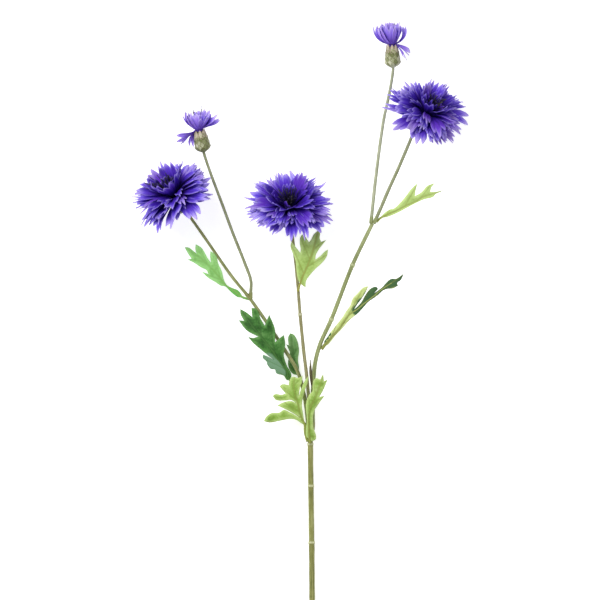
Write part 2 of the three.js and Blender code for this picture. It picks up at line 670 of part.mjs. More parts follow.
function leafSolid({ rib, stalk: petiole, left, right, slope }) {
  const points = rib.map((point) => new THREE.Vector3(...point));
  const inner = points.map((_, i) => i);
  const ribSamples = smooth(rib).getPoints(40);
  const lifted = (outline, side) =>
    outline.map(([x, y]) => {
      const away = (sample) => Math.hypot(sample.x - x, sample.y - y);
      const near = ribSamples.reduce((a, b) => (away(a) < away(b) ? a : b));
      return new THREE.Vector3(x, y, near.z + slope[side] * away(near));
    });
  const faces = [left, right].flatMap((outline, side) =>
    halfBlade(points, inner, lifted(outline, side)),
  );
  const [thick, thin] = ribRadii;
  const taper = [0, 0.25, 0.5, 0.75, 1].map((share) => [share, thick + (thin - thick) * share]);
  return fuse([sheetSolid(points, faces), stalk([...petiole, ...rib.slice(0, -1)], taper, 4)]);
}

// ---------- assembly ----------

const paint = (color, roughness) => new THREE.MeshStandardMaterial({ color, roughness, metalness: 0 });
const finishes = {
  stem: paint(0x7d8346, 0.55),
  petals: paint(0x4b2fb4, 0.85),
  budPetals: paint(0x7a5fd6, 0.85),
  florets: paint(0x1a1036, 0.8),
  calyx: paint(0x7f8650, 0.65),
  lightLeaf: paint(0x96bc5c, 0.75),
  midLeaf: paint(0x72bc5e, 0.75),
  darkLeaf: paint(0x3c7446, 0.75),
};
const leafFinish = {
  leaf_fork_left: finishes.midLeaf,
  leaf_dark_left: finishes.darkLeaf,
  leaf_dark_small: finishes.darkLeaf,
};

const spray = new THREE.Group();
function add(name, solid, material) {
  const mesh = new THREE.Mesh(geometryOf(solid), material);
  mesh.name = name;
  spray.add(mesh);
}

for (const name of Object.keys(stems)) {
  const fused = (forks[name] ?? []).map(socketSolid);
  if (name === "branch_right") fused.push(stalk(spur.path, spur.stations, 5));
  add(name, fused.length ? fuse([stemSolid(name), ...fused]) : stemSolid(name), finishes.stem);
}

const { width, depth } = surfaceBlock;
const surface = solidOf(new THREE.BoxGeometry(width, width, depth).translate(0, 0, -depth / 2));
for (const [name, head] of Object.entries(heads)) {
  const solids = headSolids(name, head);
  const petalFinish = head.kind === bud ? finishes.budPetals : finishes.petals;
  add(`${name}_petals`, solids.petals.subtract(surface), petalFinish);
  add(`${name}_florets`, solids.florets, finishes.florets);
  add(`${name}_calyx`, solids.calyx, finishes.calyx);
}

for (const [name, leaf] of Object.entries(leaves)) {
  add(name, leafSolid(leaf), leafFinish[name] ?? finishes.lightLeaf);
}

export default spray;
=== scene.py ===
import bpy
import math
import numpy as np
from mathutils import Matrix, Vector
from mathutils.geometry import delaunay_2d_cdt


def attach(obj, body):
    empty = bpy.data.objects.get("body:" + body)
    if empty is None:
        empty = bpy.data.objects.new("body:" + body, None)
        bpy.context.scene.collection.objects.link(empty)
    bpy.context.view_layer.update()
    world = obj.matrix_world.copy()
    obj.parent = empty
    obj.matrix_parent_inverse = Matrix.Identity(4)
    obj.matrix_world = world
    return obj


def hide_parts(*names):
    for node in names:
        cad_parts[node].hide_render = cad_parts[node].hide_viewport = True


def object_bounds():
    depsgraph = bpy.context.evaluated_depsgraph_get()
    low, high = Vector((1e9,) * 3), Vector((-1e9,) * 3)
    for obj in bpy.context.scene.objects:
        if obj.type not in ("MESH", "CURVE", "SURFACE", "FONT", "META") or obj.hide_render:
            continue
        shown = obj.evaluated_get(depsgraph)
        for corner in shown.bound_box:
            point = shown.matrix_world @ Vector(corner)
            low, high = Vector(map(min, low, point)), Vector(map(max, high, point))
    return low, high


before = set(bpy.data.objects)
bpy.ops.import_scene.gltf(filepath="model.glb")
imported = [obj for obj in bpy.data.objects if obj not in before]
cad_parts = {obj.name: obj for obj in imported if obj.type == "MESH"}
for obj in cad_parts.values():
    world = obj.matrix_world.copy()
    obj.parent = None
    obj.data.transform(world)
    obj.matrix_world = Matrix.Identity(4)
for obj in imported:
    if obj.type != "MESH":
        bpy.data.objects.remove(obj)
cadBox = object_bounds()
mm = 0.001
print("frame loaded")


def draw(seed):  # a number from -1 to 1, always the same for the same seed
    wave = math.sin(seed * 12.9898) * 43758.5453
    return 2 * (wave - math.floor(wave)) - 1


def ease(value, low, high):
    share = np.clip((value - low) / (high - low), 0, 1)
    return share * share * (3 - 2 * share)


def unit(vectors):
    size = np.linalg.norm(vectors, axis=-1, keepdims=True)
    return vectors / np.maximum(size, 1e-9)


def curve(p, q, leave, arrive, t):  # from p to q, with its speed at either end
    return ((2 * t**3 - 3 * t**2 + 1) * p + (t**3 - 2 * t**2 + t) * leave
            + (3 * t**2 - 2 * t**3) * q + (t**3 - t**2) * arrive)


def smoothPath(points, spacing):  # an even run of points on the centripetal curve through the given ones
    points = np.array(points, float)
    ends = [2 * points[0] - points[1], *points, 2 * points[-1] - points[-2]]
    run = []
    for p0, p1, p2, p3 in zip(ends, ends[1:], ends[2:], ends[3:]):
        gaps = [max(np.linalg.norm(b - a), 1e-6) ** 0.5 for a, b in ((p0, p1), (p1, p2), (p2, p3))]
        m1 = ((p1 - p0) / gaps[0] - (p2 - p0) / (gaps[0] + gaps[1]) + (p2 - p1) / gaps[1]) * gaps[1]
        m2 = ((p2 - p1) / gaps[1] - (p3 - p1) / (gaps[1] + gaps[2]) + (p3 - p2) / gaps[2]) * gaps[1]
        t = np.linspace(0, 1, 40, endpoint=False)[:, None]
        run.append(curve(p1, p2, m1, m2, t))
    run = np.vstack([*run, points[-1:]])
    far = np.concatenate([[0], np.cumsum(np.linalg.norm(np.diff(run, axis=0), axis=1))])
    steps = np.linspace(0, far[-1], max(3, round(far[-1] / spacing) + 1))
    return np.stack([np.interp(steps, far, run[:, k]) for k in range(3)], 1), steps


def camel(name):  # stem_bloom_left to stemBloomLeft
    first, *rest = name.split("_")
    return first + "".join(word.capitalize() for word in rest)


boxLow, boxHigh = np.array(cadBox[0]) * 1000, np.array(cadBox[1]) * 1000
surfaceGap = 0.02  # nothing dips into the surface
tipRoom = 4.0  # how far inside the CAD box a part starts to bend back from its sides


def addObject(name, data):
    made = bpy.data.objects.new(name, data)
    bpy.context.scene.collection.objects.link(made)
    return made


class Cut:  # collects the parts of one piece: points in mm, faces, and marks for its material
    def __init__(self):
        self.points, self.faces, self.marks, self.extras, self.count = [], [], [], [], 0

    def add(self, points, faces, marks, extra=0.0):
        points = np.array(points, float).reshape(-1, 3)
        points[:, 2] = np.maximum(points[:, 2], surfaceGap)
        for axis, side, limit in ((0, -1, -boxLow[0]), (0, 1, boxHigh[0]), (2, 1, boxHigh[2])):
            reach = side * points[:, axis] - limit + tipRoom
            points[:, axis] -= side * np.where(reach > 0, reach - tipRoom * np.tanh(reach / tipRoom), 0)
        marks, extra = np.array(marks, float).reshape(-1, 3), np.array(extra, float).ravel()
        self.points.append(points)
        self.marks.append(np.tile(marks, (len(points) // len(marks), 1)))  # a cloth's two sides share them
        self.extras.append(np.tile(extra, len(points) // len(extra)))
        self.faces += [tuple(i + self.count for i in face) for face in faces]
        self.count += len(points)

    def piece(self, name, slot, material, *nodes):
        points = np.vstack(self.points) * mm
        mesh = bpy.data.meshes.new(name)
        mesh.from_pydata(points.tolist(), [], self.faces)
        marks = mesh.attributes.new("marks", "FLOAT_VECTOR", "POINT")
        marks.data.foreach_set("vector", np.vstack(self.marks).ravel())
        extra = mesh.attributes.new("extra", "FLOAT", "POINT")
        extra.data.foreach_set("value", np.concatenate(self.extras))
        mesh.shade_smooth()
        mesh.materials.append(material)
        piece = addObject(name, mesh)
        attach(piece, "root")
        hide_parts(*nodes)


def sheet(grid, thickness):  # a grid of points made into a thin closed cloth
    rows, cols = grid.shape[:2]
    normal = unit(np.cross(np.gradient(grid, axis=1), np.gradient(grid, axis=0)))
    top, under = grid + normal * thickness / 2, grid - normal * thickness / 2
    at = np.arange(rows * cols).reshape(rows, cols)
    a, b, c, d = (x.ravel() for x in (at[:-1, :-1], at[:-1, 1:], at[1:, 1:], at[1:, :-1]))
    size = rows * cols
    faces = list(zip(a, b, c, d)) + list(zip(d + size, c + size, b + size, a + size))
    rim = [*at[0, :], *at[1:, -1], *at[-1, -2::-1], *at[-2:0:-1, 0]]
    for p, q in zip(rim, rim[1:] + rim[:1]):
        faces.append((q, p, p + size, q + size))
    return np.concatenate([top.reshape(-1, 3), under.reshape(-1, 3)]), faces


def ringFaces(rows, sides):  # the skin of a run of rings, closed at both ends
    at = np.arange(rows * sides).reshape(rows, sides)
    after = np.roll(at, -1, axis=1)
    faces = list(zip(at[:-1].ravel(), after[:-1].ravel(), after[1:].ravel(), at[1:].ravel()))
    return faces + [tuple(at[0, ::-1]), tuple(at[-1])]


def tube(path, radii, sides):  # a closed round run along a path
    tangent = unit(np.gradient(path, axis=0))
    ahead = np.where(np.abs(tangent[:, 2:]) > 0.9, [[1.0, 0, 0]], [[0, 0, 1.0]])
    across = unit(np.cross(tangent, ahead))
    up = np.cross(across, tangent)
    turn = np.arange(sides) / sides * 2 * math.pi
    ring = np.cos(turn)[None, :, None] * across[:, None] + np.sin(turn)[None, :, None] * up[:, None]
    points = path[:, None] + ring * np.asarray(radii)[:, None, None]
    return points.reshape(-1, 3), ringFaces(len(path), sides), np.tile(turn, len(path))


def lathe(profile, sides):  # a closed round body about z: rows of radius and height
    profile = np.array(profile, float)
    turn = np.arange(sides) / sides * 2 * math.pi
    radii, heights = profile[:, :1], profile[:, 1:]
    points = np.stack([radii * np.cos(turn), radii * np.sin(turn), heights + 0 * turn], -1)
    return points.reshape(-1, 3), ringFaces(len(profile), sides)


def tint(*screen):  # a colour from its screen values, 0 to 255
    return tuple(v / 255 / 12.92 if v < 10.3 else ((v / 255 + 0.055) / 1.055) ** 2.4 for v in screen) + (1,)


class Field:  # one socket of a material, which adds and multiplies like a number
    def __init__(self, tree, socket=None):
        self.tree, self.socket = tree, socket

    def node(self, kind, settings=None, inputs=None, output=0):
        made = self.tree.nodes.new(kind)
        for key, value in (settings or {}).items():
            if key == "stops":
                ramp = made.color_ramp
                while len(ramp.elements) < len(value):
                    ramp.elements.new(0.5)
                for element, (place, colour) in zip(ramp.elements, value):
                    element.position, element.color = place, colour
            else:
                setattr(made, key, value)
        for key, value in (inputs or {}).items():
            if isinstance(value, Field):
                self.tree.links.new(value.socket, made.inputs[key])
            else:
                made.inputs[key].default_value = value
        return Field(self.tree, made.outputs[output])

    def sum(self, operation, first, second=None):
        values = {0: first} if second is None else {0: first, 1: second}
        return self.node("ShaderNodeMath", {"operation": operation}, values)

    def __add__(self, other):
        return self.sum("ADD", self, other)

    def __radd__(self, other):
        return self.sum("ADD", other, self)

    def __sub__(self, other):
        return self.sum("SUBTRACT", self, other)

    def __rsub__(self, other):
        return self.sum("SUBTRACT", other, self)

    def __mul__(self, other):
        return self.sum("MULTIPLY", self, other)

    def __rmul__(self, other):
        return self.sum("MULTIPLY", other, self)

    def __abs__(self):
        return self.sum("ABSOLUTE", self)

    def between(self, low, high):  # 0 at low and 1 at high, eased
        settings = {"interpolation_type": "SMOOTHSTEP", "clamp": True}
        inputs = {"Value": self, "From Min": low, "From Max": high}
        return self.node("ShaderNodeMapRange", settings, inputs)

    def ramp(self, *stops):
        return self.node("ShaderNodeValToRGB", {"stops": stops}, {"Fac": self})

    def mix(self, other, share):  # this colour with share of another one over it
        inputs = {"Factor": share, 6: self, 7: other}  # sockets 6 and 7 take the colours
        return self.node("ShaderNodeMix", {"data_type": "RGBA"}, inputs, output=2)

    def vector(self, x, y, z):
        return self.node("ShaderNodeCombineXYZ", None, {"X": x, "Y": y, "Z": z})

    def noise(self, place, scale, detail=2.0, rough=0.5):
        inputs = {"Vector": place, "Scale": scale, "Detail": detail, "Roughness": rough}
        return self.node("ShaderNodeTexNoise", None, inputs)

    def marks(self):  # the three marks of a point
        settings = {"attribute_type": "GEOMETRY", "attribute_name": "marks"}
        whole = self.node("ShaderNodeAttribute", settings, output=1)
        return [self.node("ShaderNodeSeparateXYZ", None, {"Vector": whole}, output=k) for k in range(3)]

    def extra(self):  # and its fourth one
        settings = {"attribute_type": "GEOMETRY", "attribute_name": "extra"}
        return self.node("ShaderNodeAttribute", settings, output=2)

    def place(self):  # the point on the piece, in metres
        return self.node("ShaderNodeTexCoord", None, output=3)


def finish(name, build, *tints, **plain):  # a material whose colour, roughness and relief come from build
    material = bpy.data.materials.new(name)
    material.use_nodes = True
    tree = material.node_tree
    surface = tree.nodes["Principled BSDF"]
    for socket, value in plain.items():
        surface.inputs[socket.replace("_", " ")].default_value = value
    colour, roughness, relief, depth = build(Field(tree), *(tint(*each) for each in tints))
    tree.links.new(colour.socket, surface.inputs["Base Color"])
    tree.links.new(roughness.socket, surface.inputs["Roughness"])
    inputs = {"Height": relief, "Distance": depth * mm, "Strength": 1.0}
    bump = Field(tree).node("ShaderNodeBump", None, inputs)
    tree.links.new(bump.socket, surface.inputs["Normal"])
    return material


# each head's heart, the way it faces from +X and how far it looks up, in degrees; a bloom also has its shade,
# which darkens its inner rows as painted shade, the turns at which its petals are paler as painted light
# on the lit side, each with a spread, and how far its petals reach all the way round
heads = {
    "bloom_left": {
        "heart": (-92.6, 129.8, 24.4), "facing": 124, "lift": 35, "seed": 11, "open": 0,
        "shade": 0.95, "pale": [(265, 24), (190, 14)],
        "reach": (1.12, 1.07, 1.05, 1.25, 1.24, 0.98, 0.93, 1.08, 1.06, 0.82, 1.1, 1.16),
    },
    "bloom_mid": {
        "heart": (-8.4, 120.6, 25.4), "facing": 95, "lift": 44, "seed": 311, "open": 14,
        "shade": 0.83, "pale": [(268, 42), (28, 14)],
        "reach": (1.13, 1, 0.9, 0.76, 1.42, 1.06, 1.08, 1.03, 1.09, 1.03, 1, 1.05),
    },
    "bloom_right": {
        "heart": (91.6, 190.6, 24.8), "facing": 57, "lift": 33, "seed": 611, "open": 4,
        "shade": 0.85, "pale": [(278, 26), (335, 12)],
        "reach": (1.04, 1.08, 1.1, 1.18, 1.22, 0.83, 0.87, 1.06, 1.18, 0.98, 0.98, 0.85),
    },
    "bud_left": {"heart": (-76, 180.4, 26), "facing": 101, "lift": 14, "seed": 911},
    "bud_right": {"heart": (68.1, 244.2, 23), "facing": 93, "lift": 10, "seed": 1011},
}


def axisOf(head):
    turn, rise = math.radians(head["facing"]), math.radians(head["lift"])
    return np.array([math.cos(turn) * math.cos(rise), math.sin(turn) * math.cos(rise), math.sin(rise)])


def onHead(head, points):  # from a head's own frame, z along its axis, to the whole spray's
    axis = axisOf(head)
    left = unit(np.array([-axis[1], axis[0], 0]))
    points = np.asarray(points) @ np.array([left, np.cross(axis, left), axis]) + np.array(head["heart"])
    low = 1.2  # petals that reach the surface bend along it
    z = points[..., 2]
    points[..., 2] = np.where(z < low, low * np.exp((z - low) / low), z)
    return points


bloomSet = {
    "layers": [  # from the outermost; lift at the root and at the tip, height and root on the hub
        # depth: how far a petal's colour runs from its dark root towards its light teeth; lower in the inner
        # rows, as painted shade in the heart of the bloom
        dict(count=11, length=30, lift=16, tipLift=-22, height=0.8, root=2.4, halfWidth=5.6, cup=0.2,
             scatter=0.05, depth=1),
        dict(count=11, length=30, lift=30, tipLift=-6, height=2, root=2.4, halfWidth=5.4, cup=0.25,
             scatter=0.06, depth=1),
        dict(count=9, length=27, lift=42, tipLift=6, height=3.2, root=2.5, halfWidth=5.2, cup=0.3,
             scatter=0.08, depth=0.95),
        dict(count=7, length=23, lift=60, tipLift=64, height=4.2, root=3.4, halfWidth=5.8, cup=0.35,
             scatter=0.08, depth=0.8),
        dict(count=4, length=17, lift=74, tipLift=84, height=4.8, root=3.5, halfWidth=4.2, cup=0.4,
             scatter=0.08, depth=0.6),
    ],
    "uneven": {"length": 0.1, "lift": 6, "tipLift": 15, "roll": 0.6},
    "between": (0.92, 0.8, 9, 0.62),  # the petals between two: length, height, lift and width against theirs
    "betweenUneven": {"turn": 0.1, "length": 0.08, "tipLift": 14, "roll": 0.7},
    "betweenLayers": 3,  # how many layers have them
    # how much paler the petals at a head's pale turns get: painted light on the lit side of each bloom
    "openTips": 1.6, "paintedLightShare": 0.3,
    "hub": [(3.7, -1.2), (4.5, -0.4), (4.5, 4.8), (3.7, 5.6)],
    "thickness": 0.26, "teeth": (3, 4), "toothDepth": 0.13, "pleat": 0.6, "ruffle": 1.5, "curl": 2.4,
    "sway": 0.16, "fullness": 1.2, "rows": 16, "foot": 0.2,
}

budSet = {  # one by one: turn, lift at the root and at the tip, length, half width, roll
    "bud_left": [
        (20, 40, 100, 17, 4.8, -30), (58, 54, 96, 15, 5, -10), (96, 62, 88, 14, 5, 0),
        (132, 52, 68, 14.5, 4.8, 20), (164, 32, 46, 16, 4.8, 45), (190, 12, 32, 15.5, 3.6, 60),
        (228, 48, 70, 15, 4.6, 20), (275, 58, 90, 14, 4.6, 0), (-2, -10, 10, 18, 5.2, 75),
        (-18, -18, -80, 14.5, 2.6, 55),
    ],
    "bud_right": [
        (0, 12, 112, 19.5, 2.6, -70), (26, 42, 98, 18, 5, -35), (62, 60, 96, 18, 5.2, -10),
        (98, 64, 92, 17.5, 5.2, 10), (134, 58, 94, 17.5, 5, 35), (176, 10, 116, 18.5, 2.8, 60),
        (190, -6, -34, 14.5, 3.8, 40), (166, -18, -60, 14, 1.4, 20), (225, 54, 92, 17, 4.8, 10),
        (290, 54, 96, 17.5, 5, 0),
    ],
    "fillers": {
        "bud_right": [
            (12, 30, 106, 18, 4, -45), (154, 46, 104, 17, 4.2, 45), (344, 48, 98, 17, 4.6, -10),
        ],
        "bud_left": [
            (38, 46, 100, 15.5, 4.4, -20), (148, 42, 60, 14.5, 4.4, 30), (-4, 38, 104, 17, 4.4, -40),
        ],
    },
    "between": (0.9, 0.9, 8, 0.85), "droop": 0.4, "cup": 0.35,
    "hub": [(1.8, -0.6), (2.4, 0.2), (2.4, 3.2), (1.8, 4)],
    "thickness": 0.26, "teeth": (3, 3), "toothDepth": 0.21, "pleat": 0.5, "ruffle": 0.9, "curl": 1.4,
    "sway": 0.1, "fullness": 1.15, "rows": 16, "foot": 0.42,
}
toothColumns = 6  # columns of points across one tooth


def bloomPetals(head):
    petals = []
    uneven, odd = bloomSet["uneven"], bloomSet["betweenUneven"]
    reach = [*head["reach"], head["reach"][0]]
    for row, layer in enumerate(bloomSet["layers"]):
        lower = head["open"] * row / (len(bloomSet["layers"]) - 1)
        tipLift = layer["tipLift"] - bloomSet["openTips"] * lower
        # painted shade: the rows inside the second take the head's shade, so their colour stays darker
        shade = head["shade"] if row > 1 else 1
        for i in range(layer["count"]):
            key = head["seed"] + row * 40 + i
            even = (i + 0.5 * (row % 2)) / layer["count"]
            longer = np.interp(even * len(head["reach"]), range(len(reach)), reach)
            turn = even * 2 * math.pi + layer["scatter"] * draw(key)
            # painted light: petals near the head's pale turns get paler, further towards the colour of their
            # teeth
            pale = sum(math.exp(-(((math.degrees(turn) - middle + 180) % 360 - 180) / spread) ** 2)
                       for middle, spread in head["pale"])
            petal = {
                **layer, "key": key, "turn": turn,
                "length": layer["length"] * longer * (1 + uneven["length"] * draw(key + 0.1)),
                "lift": math.radians(layer["lift"] - lower + uneven["lift"] * draw(key + 0.2)),
                "tipLift": math.radians(tipLift + uneven["tipLift"] * draw(key + 0.3)),
                "roll": uneven["roll"] * draw(key + 0.4),
                "depth": layer["depth"] * shade + bloomSet["paintedLightShare"] * pale,
            }
            petals.append(petal)
            if row >= bloomSet["betweenLayers"]:
                continue
            shorter, higher, rise, narrower = bloomSet["between"]
            petals.append({
                **petal, "key": key + 0.45,
                "turn": turn + math.pi / layer["count"] + odd["turn"] * draw(key + 0.5),
                "length": petal["length"] * (shorter + odd["length"] * draw(key + 0.6)),
                "lift": petal["lift"] + math.radians(rise),
                "tipLift": petal["tipLift"] + math.radians(rise + odd["tipLift"] * draw(key + 0.8)),
                "height": layer["height"] + higher,
                "halfWidth": layer["halfWidth"] * narrower,
                "roll": odd["roll"] * draw(key + 0.9),
            })
    return petals


def budPetals(name, seed):
    petals = []
    rows = budSet[name] + budSet["fillers"][name]
    for i, (turn, lift, tipLift, length, halfWidth, roll) in enumerate(rows):
        petals.append({
            "turn": math.radians(turn), "lift": math.radians(lift), "tipLift": math.radians(tipLift),
            "length": length, "halfWidth": halfWidth, "root": 2.2, "height": 0.8 if lift < 0 else 1.2,
            "roll": math.radians(roll), "cup": budSet["cup"], "depth": 1, "key": seed + i,
        })
    for petal in petals:
        if petal["lift"] < 0:  # the low ones hang
            petal["lift"] -= budSet["droop"] * 0.6
            petal["tipLift"] -= budSet["droop"]
    shorter, higher, rise, narrower = budSet["between"]
    raised = sorted((p for p in petals[:len(budSet[name])] if p["lift"] > 0.5), key=lambda p: p["turn"])
    for first, second in zip(raised, raised[1:]):
        parts = ("turn", "lift", "tipLift", "length", "roll")
        middle = {part: (first[part] + second[part]) / 2 for part in parts}
        middle["length"] *= shorter
        middle["lift"] += math.radians(rise)
        petals.append({
            **middle, "halfWidth": first["halfWidth"] * narrower, "root": 1.8, "height": 1.2 + higher,
            "cup": budSet["cup"], "depth": 1, "key": first["key"] + 0.45,
        })
    return petals


def toothLine(key, look):  # each column's tooth, 0 in a notch to 1 at a point, and the reach of the edge
    teeth = look["teeth"][int(draw(key + 2.2) > 0)]
    column = np.arange(toothColumns * teeth + 1)
    half = toothColumns / 2
    tooth = np.minimum(column // toothColumns, teeth - 1)
    crest = 1 - np.abs(column % toothColumns - half) / half
    middle = np.abs(2 * (np.arange(teeth) + 0.5) / teeth - 1)
    depth = [look["toothDepth"] * (1 + 0.5 * draw(key + 3.1 * k)) for k in range(teeth + 1)]
    reach = 1 - 0.2 * middle**1.5 + np.array([0.07 * draw(key + 5.3 * k) for k in range(teeth)])
    lower = [min(reach[max(k - 1, 0)], reach[min(k, teeth - 1)]) for k in range(teeth + 1)]
    notch = np.array(lower) - depth
    notch[[0, -1]] -= 0.06
    floor = np.where(column % toothColumns < half, notch[tooth], notch[tooth + 1])
    floor[-1] = notch[-1]
    return tooth, crest, floor + (reach[tooth] - floor) * (1 - (1 - crest) ** 1.6)


def petalGrid(petal, look):  # rows run across, columns from the root to the teeth
    key, lift = petal["key"], petal["lift"]
    tooth, crest, tip = toothLine(key, look)
    u = np.linspace(-1, 1, len(tip))[None, :]
    v = np.linspace(0, 1, look["rows"])[:, None] ** 0.9
    t = v * tip[None, :]
    width = petal["halfWidth"] * look["fullness"] * (look["foot"] + (1 - look["foot"]) * ease(t, -0.05, 0.8))
    side = u * width
    hollow = (petal["cup"] + 0.15 * draw(key + 1.9)) * width * (u * u - 0.35)
    hollow = hollow + look["pleat"] * ease(t, 0.05, 0.6) * (crest - 0.5)[None, :]
    hollow = hollow + look["ruffle"] * t**2 * np.sin(2.6 * u + 6 * draw(key + 0.7))
    curl = np.array([draw(key + 7.7 * k) for k in tooth])[None, :]
    hollow = hollow + look["curl"] * (curl - 0.15) * ease(t, 0.55, 1.1) ** 1.5 * (0.4 + 0.6 * crest)[None, :]
    roll = petal["roll"] * t
    across = side * np.cos(roll) - hollow * np.sin(roll)
    over = side * np.sin(roll) + hollow * np.cos(roll)
    bend = petal["tipLift"] - lift
    angle = lift + bend * t
    out = petal["root"] + petal["length"] * ((np.sin(angle) - np.sin(lift)) / bend) - over * np.sin(angle)
    rise = petal["height"] + petal["length"] * ((np.cos(lift) - np.cos(angle)) / bend) + over * np.cos(angle)
    turn = petal["turn"] + look["sway"] * draw(key + 4.4) * t**1.6
    c, s = np.cos(turn), np.sin(turn)
    grid = np.stack([out * c - across * s, out * s + across * c, rise], -1)
    tone = np.full(t.shape, 0.5 + 0.5 * draw(key + 9.1))
    # the second mark runs from the root to the teeth, scaled by depth, which holds the painted shade and
    # painted light of bloomPetals
    marks = np.stack([np.broadcast_to(u, t.shape), t * petal["depth"], tone], -1)
    # the sides and the teeth, made paler in petalLook as painted light through the thin cloth
    rim = np.maximum(ease(np.abs(u), 0.78, 1) * ease(v, 0.3, 0.7), ease(v, 0.84, 1))
    return grid, marks, rim


def petalPiece(name, head, petals, look, slot, material):
    cut = Cut()
    for petal in petals:
        grid, marks, rim = petalGrid(petal, look)
        points, faces = sheet(onHead(head, grid), look["thickness"])
        cut.add(points, faces, marks, rim)
    points, faces = lathe(look["hub"], 20)
    cut.add(onHead(head, points), faces, (0, 0.02, 0.5))
    cut.piece(camel(f"{name}_petals"), slot, material, f"{name}_petals")


def petalLook(field, rootAndShade, body, light, tipsAndRimLight, plum):
    across, along, tone = field.marks()
    rim = field.extra()
    streak = field.noise(field.vector(across * 5 + tone * 40, along * 1.4, tone * 17), 1.6, 3.0, 0.6)
    fine = field.noise(field.vector(across * 22 + tone * 60, along * 2.2, tone * 9), 2.0, 2.0)
    # darker towards the root: partly the petals' own colour, partly painted shade where they crowd in the
    # heart
    level = along + (streak - 0.5) * 0.6 + (fine - 0.5) * 0.35 + (tone - 0.5) * 0.3
    colour = level.ramp((0.12, rootAndShade), (0.44, body), (0.74, light), (1.0, tipsAndRimLight))
    colour = colour.mix(plum, tone.between(0.45, 1) * along.between(0.2, 0.6) * 0.5)
    # painted light: the rims and teeth are paler, as light shines through the thin cloth
    colour = colour.mix(tipsAndRimLight, rim * along.between(0.3, 0.8) * 0.45)
    weave = field.noise(field.place(), 1900.0, 1.0)
    roughness = 0.62 + (weave - 0.5) * 0.2
    return colour, roughness, fine * 0.6 + weave * 0.3, 0.25


petalTints = {  # at the root, darker there partly as painted shade, along the petal, towards its teeth, on its rim, paler there as painted light, and the reddest petals
    "bloom": ((26, 8, 84), (62, 30, 166), (102, 72, 214), (194, 178, 248), (106, 44, 172)),
    "bud": ((96, 66, 176), (144, 114, 230), (172, 146, 244), (210, 196, 250), (156, 106, 226)),
}
bloomCloth = finish("bloomCloth", petalLook, *petalTints["bloom"], Specular_IOR_Level=0.12)
budCloth = finish("budCloth", petalLook, *petalTints["bud"], Specular_IOR_Level=0.15)
for name in ("bloom_left", "bloom_mid", "bloom_right"):
    petalPiece(name, heads[name], bloomPetals(heads[name]), bloomSet, "bloom_petals", bloomCloth)
for name in ("bud_left", "bud_right"):
    petalPiece(name, heads[name], budPetals(name, heads[name]["seed"]), budSet, "bud_petals", budCloth)
print("petals made")


stamenSet = {
    "bloom": {"count": 44, "length": 14.5, "base": 5.9, "spread": 0.55, "button": 2.1, "radius": 0.27},
    "bud": {"count": 3, "length": 10.5, "base": 4.5, "spread": 0.2, "button": 1.2, "radius": 0.2},
    "spiralStep": 2.4, "lean": 0.08, "uneven": 0.22, "bend": 0.12, "swing": 0.9,
    "swell": (0.82, 0.16),  # where along a stamen its end swells, and how far
    "strays": {  # single ones that reach further: turn, lean, length
        "bloom_left": [
            (-28, 24, 22.5), (40, 30, 19), (10, 33, 21), (75, 20, 18), (-60, 20, 18), (-8, 30, 23),
            (4, 26, 22), (22, 32, 21), (-18, 36, 20), (32, 24, 21), (-2, 40, 21), (14, 22, 20),
        ],
        "bloom_mid": [(200, 28, 16), (-20, 26, 17), (100, 26, 16)],
        "bloom_right": [(150, 26, 17), (215, 24, 17)],
        "bud_left": [(175, 18, 14), (165, 27, 12.5), (20, 12, 12)],
        "bud_right": [(180, 16, 13), (60, 6, 12.5)],
    },
}


def stamenPiece(name, head):
    look = stamenSet[name.split("_")[0]]
    cut = Cut()
    swellFrom, swell = stamenSet["swell"]
    b = look["button"]
    profile = [(b * 0.9, 0), (b, 0.5), (b * 0.9, 1.6), (b * 0.5, 2.2)]
    points, faces = lathe([(r, look["base"] + z) for r, z in profile], 16)
    cut.add(onHead(head, points), faces, (0, 0, 0))
    stamens = []
    for i in range(look["count"]):
        key = head["seed"] + 1.7 * i
        share = math.sqrt((i + 0.5) / look["count"])
        lean = share * look["spread"] + stamenSet["lean"] * draw(key + 0.3)
        length = look["length"] * (1 - 0.25 * share + stamenSet["uneven"] * draw(key))
        stamens.append((key, i * stamenSet["spiralStep"], share, lean, length))
    for i, (turn, lean, length) in enumerate(stamenSet["strays"][name]):
        stamens.append((head["seed"] + 90 + i, math.radians(turn), 0.5, math.radians(lean), length))
    for key, turn, share, lean, length in stamens:
        v = np.linspace(0, 1, 10)
        out = share * b * 0.7 + length * (np.sin(lean) * v + stamenSet["bend"] * draw(key + 0.6) * v**2)
        swing = stamenSet["swing"] * draw(key + 0.8) * v**2
        path = np.stack([out * math.cos(turn) - swing * math.sin(turn),
                         out * math.sin(turn) + swing * math.cos(turn),
                         look["base"] + 0.6 + length * math.cos(lean) * v], 1)
        radii = look["radius"] * (1 - 0.35 * v) + np.where(v > swellFrom, swell, 0)
        points, faces, _ = tube(path, radii, 6)
        along = np.repeat(v, 6)
        marks = np.stack([along, np.full(len(along), 0.5 + 0.5 * draw(key + 0.2)), along * 0], 1)
        cut.add(onHead(head, points), faces, marks)
    cut.piece(camel(f"{name}_stamens"), "florets", stamenThread, f"{name}_florets")


def stamenLook(field, root, middle, tip, paintedHighlight):
    along, tone, _ = field.marks()
    mottle = field.noise(field.place(), 700.0, 2.0)
    colour = (along + (mottle - 0.5) * 0.5).ramp((0.1, root), (0.6, middle), (1, tip))
    # painted highlight: olive patches on some stamens, where light catches them
    highlightShare = (tone + mottle * 0.4).between(1.02, 1.22)
    colour = colour.mix(paintedHighlight, highlightShare * along.between(0.2, 0.7))
    return colour, 0.5 + mottle * 0.2, mottle, 0.1


